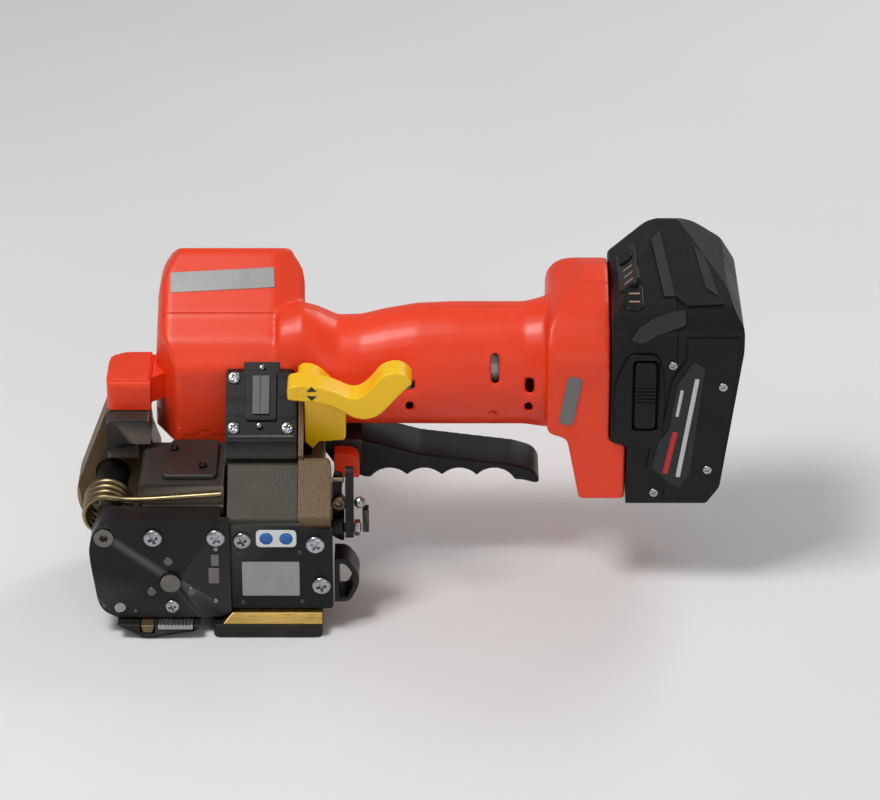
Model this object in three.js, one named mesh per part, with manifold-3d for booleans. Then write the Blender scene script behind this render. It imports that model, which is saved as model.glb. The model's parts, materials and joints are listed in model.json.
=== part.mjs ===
// Battery strapping tool for plastic strap: a hand-held machine that tensions, friction-welds and cuts
// a strap around a package. Millimetres, +X along the handle towards the battery, -Y the side where the
// strap is put in, +Z up. The origin is on the underside of the base, between its two long edges.

import * as THREE from 'three';
import { mergeVertices } from 'three/addons/utils/BufferGeometryUtils.js';
import Module from 'manifold-3d';

const wasm = await Module();
wasm.setup();

// ---------------------------------------------------------------------------------------------
// Driving dimensions
// ---------------------------------------------------------------------------------------------

const GAP = 0.3;              // clearance between pieces that touch
const FIT = 0.3;              // radial clearance of a shaft in its bore

const BASE = { x0: -27.5, x1: 27, y0: -60, y1: 36, top: 7.2 };
const STRAP_Z = 12.4;         // underside of the weld jaw and its covers at rest
const WELD_X0 = -19.9;        // left face of the weld head
const WELD_X1 = 14.8;         // right face of the weld head
const FRONT_Y = -50.3;        // front face of the weld head, behind its cover plate

const SHAFT = { x: -80.5, z: 54.8, radius: 5 };          // rocker shaft, parallel to Y
const WHEEL = { x: -48.2, z: 29.8, radius: 21.3 };       // tension wheel, parallel to Y
const ROCKER_FRONT = -55.5;
const ROCKER_BACK = -42;

const WALL = 2.6;             // wall of the orange mouldings
const SPLIT_Y = 30;           // parting plane of the two housing halves
const TOWER = { x0: -59.5, x1: 17, y0: 8, y1: 72, z0: 76, front: 115, rear: 158 };
const RIDGE_Y = 62;
const TOWER_SLOPE = 0.695;
const HANDLE = { y: 31, z: 107.4, halfWidth: 26, halfHeight: 32.3 };
const MOUNT = { x0: 139, x1: 168, y0: -8, y1: 68, z0: 49, z1: 152 };

const GRIP_PIVOT = { x: 40, z: 66 };                     // grip lever, parallel to Y
const LEVER_PIVOT = { x: 17.8, z: 118.2 };               // weld lever, parallel to Y
const GRIP_Y = [15.5, 44.5];

const BATTERY = { x0: 170, x1: 236, y0: -10, y1: 70, z0: 48 };

// ---------------------------------------------------------------------------------------------
// Materials
// ---------------------------------------------------------------------------------------------

function finish(color, roughness, metalness = 0) {
  return { color, roughness, metalness };
}

const ORANGE = finish(0xe84a22, 0.42);
const BLACK_METAL = finish(0x1a1a1c, 0.5, 0.3);
const CAST = finish(0x26241f, 0.6, 0.4);
const BRONZE = finish(0x6b5844, 0.5, 0.6);
const OLIVE = finish(0x33322c, 0.5, 0.5);
const STEEL = finish(0x8f9296, 0.35, 1);
const DARK_STEEL = finish(0x37302a, 0.45, 0.8);
const BRASS = finish(0xb8913f, 0.35, 0.9);
const YELLOW = finish(0xffd000, 0.35);
const RUBBER = finish(0x141416, 0.7);
const BLACK_PLASTIC = finish(0x151517, 0.5);
const SILVER = finish(0xb9bcc0, 0.4, 0.6);
const GREEN = finish(0x1d5b34, 0.5);

// ---------------------------------------------------------------------------------------------
// Solids: each helper returns a closed solid that can be joined and cut
// ---------------------------------------------------------------------------------------------

function solid(geometry) {
  const source = geometry.index ? geometry : mergeVertices(geometry);
  source.deleteAttribute('normal');
  source.deleteAttribute('uv');
  const merged = mergeVertices(source, 1e-4);
  return new wasm.Manifold(new wasm.Mesh({
    numProp: 3,
    vertProperties: new Float32Array(merged.attributes.position.array),
    triVerts: new Uint32Array(merged.index.array),
  }));
}

function geometryOf(body) {
  const mesh = body.getMesh();
  const geometry = new THREE.BufferGeometry();
  geometry.setAttribute('position', new THREE.BufferAttribute(mesh.vertProperties, 3));
  geometry.setIndex(new THREE.BufferAttribute(mesh.triVerts, 1));
  return geometry.toNonIndexed();
}

// Turns a shape drawn in its own plane, with its depth, into the plane that the axis is square to.
const PLANE = {
  x: new THREE.Matrix4().makeBasis(
    new THREE.Vector3(0, 1, 0), new THREE.Vector3(0, 0, 1), new THREE.Vector3(1, 0, 0)),
  y: new THREE.Matrix4().makeBasis(
    new THREE.Vector3(1, 0, 0), new THREE.Vector3(0, 0, 1), new THREE.Vector3(0, -1, 0)),
  z: new THREE.Matrix4(),
};

// A shape from corner points [a, b, radius]; a radius rounds that corner.
function outline(points) {
  const shape = new THREE.Shape();
  const count = points.length;
  points.forEach(([a, b, radius = 0], i) => {
    const corner = new THREE.Vector2(a, b);
    const before = new THREE.Vector2(...points[(i + count - 1) % count].slice(0, 2));
    const after = new THREE.Vector2(...points[(i + 1) % count].slice(0, 2));
    const start = corner.clone().lerp(before, Math.min(0.5, radius / corner.distanceTo(before)));
    const end = corner.clone().lerp(after, Math.min(0.5, radius / corner.distanceTo(after)));
    if (i === 0) {
      shape.moveTo(start.x, start.y);
    } else {
      shape.lineTo(start.x, start.y);
    }
    if (radius > 0) {
      shape.quadraticCurveTo(corner.x, corner.y, end.x, end.y);
    }
  });
  shape.closePath();
  return shape;
}

// An outline run along one axis from one place to another. Points are (y, z), (x, z) or (x, y).
function prism(axis, points, from, to, curveSegments = 4) {
  const shape = points instanceof THREE.Shape ? points : outline(points);
  const geometry = new THREE.ExtrudeGeometry(shape, {
    depth: to - from, bevelEnabled: false, curveSegments,
  });
  if (axis === 'y') {
    geometry.translate(0, 0, -to);
  } else {
    geometry.translate(0, 0, from);
  }
  geometry.applyMatrix4(PLANE[axis]);
  return solid(geometry);
}

function box(x0, x1, y0, y1, z0, z1) {
  return prism('z', [[x0, y0], [x1, y0], [x1, y1], [x0, y1]], z0, z1);
}

// A round bar along one axis; centre is (y, z), (x, z) or (x, y).
function rod(axis, centre, radius, from, to, segments = 24) {
  const circle = new THREE.Shape();
  for (let i = 0; i < segments; i += 1) {
    const angle = (2 * Math.PI * i) / segments;
    const a = centre[0] + radius * Math.cos(angle);
    const b = centre[1] + radius * Math.sin(angle);
    if (i === 0) {
      circle.moveTo(a, b);
    } else {
      circle.lineTo(a, b);
    }
  }
  circle.closePath();
  return prism(axis, circle, from, to);
}

// A wire or band of round section along a path.
function wire(path, radius, steps, quarter = 2) {
  const circle = new THREE.Shape();
  circle.absarc(0, 0, radius, 0, 2 * Math.PI, false);
  const geometry = new THREE.ExtrudeGeometry(circle, {
    steps, bevelEnabled: false, extrudePath: path, curveSegments: quarter * 2,
  });
  return solid(geometry);
}

function join(first, ...others) {
  return others.reduce((whole, piece) => whole.add(piece), first);
}

function cut(first, ...others) {
  return others.reduce((whole, piece) => whole.subtract(piece), first);
}

function common(first, ...others) {
  return others.reduce((whole, piece) => whole.intersect(piece), first);
}

// Moves or turns a solid by a three.js matrix.
function placed(body, matrix) {
  const geometry = geometryOf(body);
  geometry.applyMatrix4(matrix);
  return solid(geometry);
}

const tool = new THREE.Group();

function add(name, body, look) {
  const geometry = geometryOf(body);
  geometry.computeVertexNormals();
  const mesh = new THREE.Mesh(geometry, new THREE.MeshStandardMaterial(look));
  mesh.name = name;
  tool.add(mesh);
  return mesh;
}

// ---------------------------------------------------------------------------------------------
// Base, foot and castings
// ---------------------------------------------------------------------------------------------

// Steel base under the weld head, with rounded front corners.
function baseFrame() {
  const { x0, x1, y0, y1, top } = BASE;
  return prism('z', [[x0, y0, 4], [x1, y0, 4], [x1, y1, 4], [x0, y1, 4]], 0, top);
}

// Brass-coloured plate on the base: its bevelled front edge leads the strap in.
const WEAR_BACK = -27;
function wearPlate() {
  const low = BASE.top + GAP;
  const high = STRAP_Z - 0.5;
  const section = prism('x', [
    [BASE.y0 + 0.2, low], [WEAR_BACK, low], [WEAR_BACK, high], [BASE.y0 + 4.5, high],
  ], -23, BASE.x1 + 0.3);
  const slantedEnds = prism('y', [[-22.8, low], [27.2, low], [27.2, high], [-18, high]],
    BASE.y0 - 1, WEAR_BACK + 1);
  const frontNotch = box(11.5, 21.5, BASE.y0 - 1, BASE.y0 + 2.4, high - 1.6, high + 1);
  return cut(common(section, slantedEnds), frontNotch);
}

// Wedge-shaped foot under the tension wheel.
const FOOT_FRONT = -61;
const FOOT_TOP = 7.8;
const GRIPPER = { x0: -55, x1: -37.5, y1: -27, z0: 5.4, z1: 8.1 };
const CLAMP = { x0: -63.5, x1: -56.8, y1: -40 };
function tensionFoot() {
  const wedge = prism('y', [[-75.5, FOOT_TOP], [-62, 0], [-58, 0], [-34.5, 5], [-33.6, FOOT_TOP]],
    FOOT_FRONT, BASE.y1);
  const gripperSeat = box(GRIPPER.x0 - GAP, GRIPPER.x1 + GAP, FOOT_FRONT - 1, GRIPPER.y1 + GAP,
    GRIPPER.z0 - GAP, FOOT_TOP + 1);
  const clampSeat = box(CLAMP.x0 - GAP, CLAMP.x1 + GAP, FOOT_FRONT - 1, CLAMP.y1 + GAP,
    3.2, FOOT_TOP + 1);
  return cut(wedge, gripperSeat, clampSeat);
}

// Hardened plate with cross grooves that the strap is pressed on.
function gripperPlate() {
  const plate = box(GRIPPER.x0, GRIPPER.x1, FOOT_FRONT - 0.4, GRIPPER.y1, GRIPPER.z0, GRIPPER.z1);
  const grooves = [];
  for (let x = GRIPPER.x0 + 1.6; x < GRIPPER.x1 - 1; x += 1.75) {
    grooves.push(box(x, x + 0.7, FOOT_FRONT - 1, GRIPPER.y1 + 1, GRIPPER.z1 - 0.5, GRIPPER.z1 + 1));
  }
  return cut(plate, ...grooves);
}

// Small wedge that holds the gripper plate against its seat.
function gripperClamp() {
  return prism('y', [[CLAMP.x0, 7.7], [CLAMP.x0 + 1, 3.6], [CLAMP.x1 - 1, 3.6], [CLAMP.x1, 7.7]],
    FOOT_FRONT - 0.4, CLAMP.y1);
}

// Body casting that carries the base, the foot, the weld head and the housing.
const CASTING = { x0: -56.5, x1: 27, y0: -12, y1: 36, low: 8.2, leftTop: 50, rightTop: 74.5 };
const ECCENTRIC = { x: -2.5, z: 47, radius: 5 };
function mainCasting() {
  const { x0, x1, y0, y1, low, leftTop, rightTop } = CASTING;
  const left = box(x0, 0, y0, y1, low, leftTop);
  const right = box(-19.5, x1, y0 - 12.5, y1, STRAP_Z - 0.2, rightTop);
  const keel = box(-19.5, x1, y0, y1, BASE.top + GAP, STRAP_Z + 1);
  const beltRoom = box(-16.5, 21, -6, 30, 30, rightTop + 1);
  const shaftBore = rod('y', [ECCENTRIC.x, ECCENTRIC.z], ECCENTRIC.radius + FIT, y0 - 13, 0);
  const wheelRoom = rod('y', [WHEEL.x, WHEEL.z], 8, y0 - 1, 20);
  return cut(join(left, right, keel), beltRoom, shaftBore, wheelRoom);
}

// Black casting with an arch over the rocker shaft.
const ARCH = { x0: -82.4, x1: -59.9, y0: -2, y1: 9.7, z0: 66, z1: 92 };
function archHousing() {
  const { x0, x1, y0, y1, z0, z1 } = ARCH;
  const block = prism('y', [
    [x0, z0], [-66.4, z0], [-66.4, 78.2], [x1, 78.2], [x1, z1, 3], [x0, z1, 6],
  ], y0, y1);
  return cut(block, rod('y', [-71, z0 - 2], 14.5, y0 - 1, y0 + 8, 32));
}

// Bronze-coloured case at the rear left that carries the rocker shaft and the tension gears.
const GEARCASE = { y0: 10, y1: 31 };
function tensionGearHousing() {
  const body = prism('y', [
    [-82.5, 91.5, 4], [-99.5, 46.5, 5], [-98.8, 36.5, 5], [-89, 17.5, 6], [-83, 10.5, 3],
    [-57, 10.5], [-57, 64], [-60.6, 75.5], [-62.4, 91.5, 3],
  ], GEARCASE.y0, GEARCASE.y1);
  const shaftBore = rod('y', [SHAFT.x, SHAFT.z], 8.3 + FIT, GEARCASE.y0 - 1, GEARCASE.y1 + 1);
  return cut(body, shaftBore);
}

// ---------------------------------------------------------------------------------------------
// Rocker with the tension wheel
// ---------------------------------------------------------------------------------------------

function rockerShaft() {
  const bar = rod('y', [SHAFT.x, SHAFT.z], SHAFT.radius, -56.4, 34);
  const socket = rod('y', [SHAFT.x, SHAFT.z], 2.2, -57, -53.5, 6);
  return cut(bar, socket);
}

function shaftSleeve() {
  return cut(rod('y', [SHAFT.x, SHAFT.z], 8.3, -13.4, 30.6),
    rod('y', [SHAFT.x, SHAFT.z], SHAFT.radius + FIT, -14, 31));
}

// Coil round the rocker shaft whose straight leg presses the rocker down.
const SPRING = { radius: 11, wire: 1.5, turns: 3.5, y0: -34, y1: -15.2 };
const LEG_Y = -39.8;
function torsionSpring() {
  const points = [];
  const steps = Math.round(SPRING.turns * 14);
  for (let i = 0; i <= steps; i += 1) {
    const t = i / steps;
    const angle = Math.PI / 2 + 2 * Math.PI * SPRING.turns * (1 - t);
    points.push(new THREE.Vector3(
      SHAFT.x + SPRING.radius * Math.cos(angle),
      SPRING.y1 + (SPRING.y0 - SPRING.y1) * t,
      SHAFT.z + SPRING.radius * Math.sin(angle)));
  }
  points.push(
    new THREE.Vector3(-74, SPRING.y0 - 2.6, 66.2),
    new THREE.Vector3(-67, LEG_Y, 67),
    new THREE.Vector3(-45, LEG_Y, 68.8),
    new THREE.Vector3(-22.8, LEG_Y, 70.6));
  return wire(new THREE.CatmullRomCurve3(points, false, 'centripetal'), SPRING.wire, 110);
}

// Thick black front plate of the rocker. A thin lip on its right edge laps over the weld head's plate.
const ROCKER_TOP = 65.2;
function rockerCover() {
  const plate = prism('y', [
    [-81.5, 12.2, 3], [-75.5, 9.2, 1], [-34.5, 9.2, 1], [-23.4, 9.7],
    [-23.4, ROCKER_TOP], [-82, ROCKER_TOP, 5], [-88.4, 51, 8], [-87.6, 39, 10], [-84.6, 17.5, 4],
  ], ROCKER_FRONT, ROCKER_BACK);
  const lip = prism('y', [[-24, 9.7], [-18.4, 12.2, 1], [-18.4, ROCKER_TOP], [-24, ROCKER_TOP]],
    ROCKER_FRONT, ROCKER_FRONT + 2.2);
  const shaftBore = rod('y', [SHAFT.x, SHAFT.z], SHAFT.radius + FIT, -60, -40);
  const wheelBore = rod('y', [WHEEL.x, WHEEL.z], 5.4, -60, -40);
  return cut(join(plate, lip), shaftBore, wheelBore);
}

// Black casting behind the cover: gear room on top and the round gear case behind the wheel.
const ROCKER_CAST = { x0: -64, x1: -21.6, y0: -38, y1: 5, z0: 52.2, z1: 75.5 };
function rockerCasting() {
  const { x0, x1, y0, y1, z0, z1 } = ROCKER_CAST;
  const upper = prism('y', [[x0, z0], [x1, z0], [x1, z1, 2], [x0, z1, 4]], y0, y1);
  const step = box(x0 + 2, x1 - 0.2, ROCKER_BACK + GAP, y0 + 1, z0, 64.5);
  const web = box(-60, -36, -28.5, -13, WHEEL.z, z0 + 1);
  const gearCase = rod('y', [WHEEL.x, WHEEL.z], 18, -28.5, -13, 36);
  const wheelBore = rod('y', [WHEEL.x, WHEEL.z], 5.4, -30, -12);
  const gearRoom = box(x0 + 4, x1 - 4, -11, y1 - 4, z0 - 1, z1 - 5);
  return cut(join(upper, step, web, gearCase), wheelBore, gearRoom);
}

// Flat lid on the rocker casting.
const LID = { x0: -52.5, x1: -25.5, y0: -34, y1: 3.5, z0: 75.8, z1: 78.2 };
function castingLid() {
  const { x0, x1, y0, y1, z0, z1 } = LID;
  return prism('z', [[x0, y0, 3], [x1, y0, 3], [x1, y1, 3], [x0 + 3, y1, 3]], z0, z1);
}

// Toothed wheel that grips the strap, in one piece with its spindle.
function tensionWheel() {
  const { x, z, radius } = WHEEL;
  const teeth = 44;
  const shape = new THREE.Shape();
  for (let i = 0; i < teeth * 2; i += 1) {
    const angle = (Math.PI * i) / teeth;
    const r = i % 2 ? radius : radius - 0.7;
    const point = [x + r * Math.cos(angle), z + r * Math.sin(angle)];
    if (i === 0) {
      shape.moveTo(...point);
    } else {
      shape.lineTo(...point);
    }
  }
  shape.closePath();
  return join(prism('y', shape, -41.6, -29), rod('y', [x, z], 5, -57.6, -10.6));
}

// ---------------------------------------------------------------------------------------------
// Weld head
// ---------------------------------------------------------------------------------------------

const JAW = { x0: -4.6, x1: 7.4, y0: -43.8, y1: -34.6, bottom: STRAP_Z + 1.9, top: 23 };
const CUTTER = { x0: 8.2, x1: 11.4, y0: -47, y1: -31.5, bottom: STRAP_Z + 2.6, top: 32 };

// Olive block with a sloping shoulder; the jaw and the cutter move in the pocket underneath.
const WELD_BLOCK_BACK = -25;
function weldBlock() {
  const section = prism('x', [
    [FRONT_Y, STRAP_Z], [WELD_BLOCK_BACK, STRAP_Z], [WELD_BLOCK_BACK, 80.2],
    [-26.5, 80.2, 2], [FRONT_Y, 60.8, 2],
  ], WELD_X0, WELD_X1);
  const pocket = box(JAW.x0 - 0.8, CUTTER.x1 + 0.8, CUTTER.y0 - 0.8, CUTTER.y1 + 0.8, STRAP_Z - 1, 36);
  const shaftBore = rod('y', [ECCENTRIC.x, ECCENTRIC.z], ECCENTRIC.radius + FIT, -48, -20);
  const shaftSlot = box(ECCENTRIC.x - 3, ECCENTRIC.x + 3, -46, -38, 34, ECCENTRIC.z);
  return cut(section, pocket, shaftBore, shaftSlot);
}

function weldJaw() {
  const { x0, x1, y0, y1, bottom, top } = JAW;
  const body = box(x0, x1, y0, y1, bottom, top);
  const serrations = [];
  for (let x = x0 + 1.5; x < x1 - 1; x += 2.4) {
    serrations.push(box(x, x + 1, y0 - 1, y1 + 1, bottom - 1, bottom + 0.5));
  }
  return cut(body, ...serrations);
}

function cutterBlade() {
  const { x0, x1, y0, y1, bottom, top } = CUTTER;
  return prism('y', [[x0, bottom], [x1, bottom + 2.6], [x1, top], [x0, top]], y0, y1);
}

// Driven shaft whose offset end shakes the jaw; its rear end carries the belt pulley.
function eccentricShaft() {
  const { x, z, radius } = ECCENTRIC;
  const main = rod('y', [x, z], radius - 0.2, -46.5, 25);
  const pulley = rod('y', [x, z], 12, 2, 14, 28);
  const belt = rod('y', [x, z], 13, 1, 2.4, 28);
  return join(main, pulley, belt);
}

// Cast rib to the right of the weld block, rounded across, with a thin fin beside the name cover.
const RIB = { x0: WELD_X1 + GAP, x1: 31.4 };
function weldRib() {
  const { x0, x1 } = RIB;
  const slope = prism('x', [
    [FRONT_Y, STRAP_Z + 1], [WELD_BLOCK_BACK, STRAP_Z + 1], [WELD_BLOCK_BACK, 84.6, 3],
    [FRONT_Y, 62.2, 2],
  ], x0, x1);
  const crown = prism('y', [
    [x0, STRAP_Z + 1], [x1, STRAP_Z + 1], [x1, 85, 7], [x0, 85, 1],
  ], FRONT_Y - 1, WELD_BLOCK_BACK + 1);
  const fin = prism('x', [
    [-27, 70], [-27, 85.2], [-22.4, 90.6], [-4.5, 107.2], [-1.6, 107.2], [-1.6, 96], [-20, 77.5],
    [-25, 75], [-25, 70],
  ], x0, x0 + 2.4);
  return join(common(slope, crown), fin);
}

// Black cover plate across the weld head's front.
const PLATE = { x0: -18, x1: 32.4, y0: -53, z0: STRAP_Z + 0.2, z1: 60.4 };
function weldFrontPlate() {
  const { x0, x1, y0, z0, z1 } = PLATE;
  return prism('y', [
    [x0, z0, 1], [x1, z0, 2], [x1, z1 - 2.4, 1.5], [17.2, z1 - 2.4], [17.2, z1], [x0, z1],
  ], y0, FRONT_Y - GAP);
}

// Black cover between the weld head and the tower; its front leans back at 45 degrees.
const NAME = { x0: -21.2, x1: 14.4, low: 81, foot: -22.3, kneeZ: 90.4, topY: 7.4, topZ: 120.1 };
function nameCover() {
  const { x0, x1, low, foot, kneeZ, topY, topZ } = NAME;
  const body = prism('x', [
    [foot, low], [foot, kneeZ], [topY, topZ], [topY, 76.2], [foot + 1.2, 76.2], [foot + 1.2, low],
  ], x0, x1);
  const front = prism('y', [
    [x0, 70], [x1, 70], [x1, 116.2, 7], [5.6, 116.2], [5.6, 125], [-12.4, 125], [-12.4, 116.2],
    [x0, 116.2, 1],
  ], foot - 1, topY + 1);
  const room = prism('x', [
    [foot + 3, 75], [foot + 3, kneeZ - 2], [topY - 2.6, topZ - 7.6], [topY - 2.6, 75],
  ], x0 + 2.6, x1 - 2.6);
  return cut(common(body, front), room);
}

// Raised panel and grey tally strips on the sloping front of the name cover.
const SLOPE = Math.atan2(NAME.topZ - NAME.kneeZ, NAME.topY - NAME.foot);
function onSlope(body, x, along, lift) {
  const matrix = new THREE.Matrix4().makeRotationX(SLOPE);
  matrix.setPosition(
    x,
    NAME.foot + along * Math.cos(SLOPE) - lift * Math.sin(SLOPE),
    NAME.kneeZ + along * Math.sin(SLOPE) + lift * Math.cos(SLOPE));
  return placed(body, matrix);
}

const PANEL = { x: -3.6, along: 24, width: 15.5, height: 26, thick: 1.2 };
function namePanel() {
  const { x, along, width, height, thick } = PANEL;
  const plate = prism('z', [
    [-width / 2, -height / 2, 1.5], [width / 2, -height / 2, 1.5],
    [width / 2, height / 2, 1.5], [-width / 2, height / 2, 1.5],
  ], 0, thick);
  return onSlope(plate, x, along, GAP);
}

function nameStrips() {
  const strips = [-1, 1].map((side) => box(side * 2.3 - 1.9, side * 2.3 + 1.9, -10, 10, 0, 0.8));
  const backing = box(-4.2, 4.2, -10, 10, 0, 0.3);
  return onSlope(join(backing, ...strips), PANEL.x, PANEL.along, GAP + PANEL.thick + GAP);
}

// Screw head with a cross recess, standing on the plane z = 0.
function screwHead(radius, height) {
  const head = rod('z', [0, 0], radius, 0, height, 20);
  const long = radius * 0.55;
  const half = radius * 0.13;
  const recess = [
    box(-long, long, -half, half, height - 1, height + 1),
    box(-half, half, -long, long, height - 1, height + 1),
  ];
  return cut(head, ...recess);
}

// Puts a screw head on a plane that faces the front, at height y.
function onFront(body, x, y, z) {
  const matrix = new THREE.Matrix4().makeRotationX(Math.PI / 2);
  matrix.setPosition(x, y, z);
  return placed(body, matrix);
}

// ---------------------------------------------------------------------------------------------
// Weld lever, grip lever and the linkage on the right of the weld head
// ---------------------------------------------------------------------------------------------

const LEVER_Y = [-24, -9];
function weldLever() {
  const curl = [
    [10, 114.6, 1.5], [31, 112.4, 8], [45, 103, 6], [55, 105, 6], [62, 113.4, 4], [69.5, 121.8, 2],
    [72.6, 123.5, 3], [67, 130.5, 5], [57, 129, 5], [50, 119, 6], [43, 114.4, 6], [30, 121.4, 10],
    [16, 123.4, 4], [10, 121.8, 2],
  ];
  const bore = rod('y', [LEVER_PIVOT.x, LEVER_PIVOT.z], 2.5, LEVER_Y[0] - 1, LEVER_Y[1] + 1, 16);
  return cut(prism('y', curl, ...LEVER_Y), bore);
}

// Yellow bracket behind the lever that holds its pin and covers the linkage below.
function leverBracket() {
  const side = [
    [17.9, 82.8], [21.8, 79, 1], [24.6, 83], [38.4, 84, 2], [38.4, 106, 4], [25, 120.5, 5], [18, 122.4, 3],
    [14.9, 120], [14.9, 108.4], [17.9, 107.6],
  ];
  const bore = rod('y', [LEVER_PIVOT.x, LEVER_PIVOT.z], 2.5, -10, 6, 16);
  return cut(prism('y', side, LEVER_Y[1] + 0.5, 3.6), bore);
}

function leverPin() {
  return rod('y', [LEVER_PIVOT.x, LEVER_PIVOT.z], 2.2, LEVER_Y[0] + 0.6, 3.2, 16);
}

// Grip lever with four finger grooves underneath.
const GROOVES = { from: 51, to: 122, count: 4, cuspZ: 50.2, depth: 4.2 };
function gripLever() {
  const { from, to, count, cuspZ, depth } = GROOVES;
  const shape = outline([
    [137, 46, 3], [133.5, 53, 4], [122.5, 56.4], [98.5, 59.6], [75.5, 62.6], [56, 68.2, 6], [46, 70.8],
    [38, 71, 4], [33.4, 66, 4], [34, 58, 4], [46, 49.2, 3], [128, 47.6, 2], [134, 45.6, 2],
  ]);
  const length = (to - from) / count;
  const fingers = [];
  for (let i = 0; i < count; i += 1) {
    const middle = from + length * (i + 0.5);
    const radius = (length * length / 4 + depth * depth) / (2 * depth);
    const centreZ = cuspZ + depth - radius;
    fingers.push(rod('y', [middle, centreZ], radius, GRIP_Y[0] - 1, GRIP_Y[1] + 1, 40));
  }
  const pinBore = rod('y', [GRIP_PIVOT.x, GRIP_PIVOT.z], 3.3, GRIP_Y[0] - 1, GRIP_Y[1] + 1, 16);
  return cut(prism('y', shape, ...GRIP_Y, 5), pinBore, ...fingers);
}

function gripLeverPin() {
  return rod('y', [GRIP_PIVOT.x, GRIP_PIVOT.z], 3, 9.6, 52, 16);
}

// Steel fork under the housing neck that holds the grip lever's pin.
const FORK = { x0: 27.4, x1: 46, y0: 9.4, y1: 50.6, plateZ: 72.9, top: 74.6, ear: 5.6 };
function gripFork() {
  const { x0, x1, y0, y1, plateZ, top, ear } = FORK;
  const side = [[x0, top], [x0, 68], [34, 58, 3], [45, 58, 3], [x1, top]];
  const front = prism('y', side, y0, y0 + ear);
  const rear = prism('y', side, y1 - ear, y1);
  const plate = box(x0, x1, y0, y1, plateZ, top);
  const bore = rod('y', [GRIP_PIVOT.x, GRIP_PIVOT.z], 3.3, y0 - 1, y1 + 1, 16);
  return cut(join(front, rear, plate), bore);
}

// Orange quarter-round cap over the front end of the grip lever's pin.
function pivotCap() {
  return prism('y', [[32, 58], [44.8, 58, 1], [44.8, 71.4, 9], [32, 71.4, 1]], 0, 9.1);
}

// Link that the weld lever works: it turns on a boss on the right of the weld head.
const LINK = { y: -35, z: 49, x0: 38.4, x1: 42.6 };
function linkBoss() {
  const flange = rod('x', [LINK.y, LINK.z], 4.4, RIB.x1 + GAP, LINK.x0 - 1.2, 20);
  const pin = rod('x', [LINK.y, LINK.z], 2.4, RIB.x1 + GAP, LINK.x1 + 3.6, 16);
  return join(flange, pin);
}

function linkArm() {
  const side = [
    [-39.5, 44.5, 3], [-31, 44.5, 3], [-30.6, 54, 2], [-31.4, 66, 2], [-26, 76, 2], [-26.4, 80, 1.5],
    [-30.4, 79, 1.5], [-36, 67, 2], [-39.5, 54, 2],
  ];
  const arm = prism('x', side, LINK.x0, LINK.x1, 3);
  return cut(arm, rod('x', [LINK.y, LINK.z], 2.7, LINK.x0 - 1, LINK.x1 + 1, 16));
}

function linkNut() {
  const nut = rod('x', [LINK.y, LINK.z], 4.2, LINK.x1 + GAP, LINK.x1 + 3.2, 6);
  return cut(nut, rod('x', [LINK.y, LINK.z], 2.6, LINK.x1, LINK.x1 + 4, 16));
}

// Ball-headed stud on the link arm.
function ballStud() {
  const ball = new THREE.SphereGeometry(3, 12, 8);
  ball.translate(LINK.x1 + 3, -33.6, 62.5);
  return join(solid(ball), rod('x', [-33.6, 62.5], 1.5, LINK.x1 + GAP, LINK.x1 + 2, 12));
}

// Bent strap guide to the right of the weld head, open in the middle.
const GUIDE = { x0: 32.9, x1: 45.2, y0: -46, y1: -30, z0: 12.4, z1: 37 };
function strapGuide() {
  const { x0, x1, y0, y1, z0, z1 } = GUIDE;
  const loop = [[x0, z0], [x1 - 5, z0, 3], [x1, z0 + 9, 6], [x1, z1 - 8, 6], [x1 - 6, z1, 4], [x0, z1]];
  const room = [
    [x0 + 2.4, z0 + 2.6, 1], [x1 - 6, z0 + 2.6, 2], [x1 - 2.8, z0 + 10, 4], [x1 - 2.8, z1 - 9, 4],
    [x1 - 7, z1 - 2.8, 3], [x0 + 2.4, z1 - 2.8, 1],
  ];
  return cut(prism('y', loop, y0, y1), prism('y', room, y0 - 1, y1 + 1));
}

// ---------------------------------------------------------------------------------------------
// Orange housing: tower, neck, handle and battery mount, parted along the handle into two halves
// ---------------------------------------------------------------------------------------------

// The outline moved inwards by a distance; the points run counter-clockwise.
function shrunk(points, distance) {
  const count = points.length;
  return points.map(([a, b, radius = 0], i) => {
    const [pa, pb] = points[(i + count - 1) % count];
    const [na, nb] = points[(i + 1) % count];
    const before = new THREE.Vector2(a - pa, b - pb).normalize();
    const after = new THREE.Vector2(na - a, nb - b).normalize();
    const bisector = new THREE.Vector2(-before.y - after.y, before.x + after.x).normalize();
    const reach = distance / Math.max(0.3, bisector.dot(new THREE.Vector2(-after.y, after.x)));
    return [a + bisector.x * reach, b + bisector.y * reach, Math.max(0, radius - distance)];
  });
}

// The slope of the tower's top falls to the front; cross-sections cut square to Y slide down with it.
function alongSlope(points, depth) {
  const geometry = new THREE.ExtrudeGeometry(outline(points), {
    depth: depth * 2, bevelEnabled: false, curveSegments: 4,
  });
  geometry.translate(0, 0, -depth);
  geometry.applyMatrix4(PLANE.y);
  geometry.applyMatrix4(new THREE.Matrix4().set(
    1, 0, 0, 0,
    0, 1, 0, 0,
    0, TOWER_SLOPE, 1, -TOWER_SLOPE * RIDGE_Y,
    0, 0, 0, 1));
  return solid(geometry);
}

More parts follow.
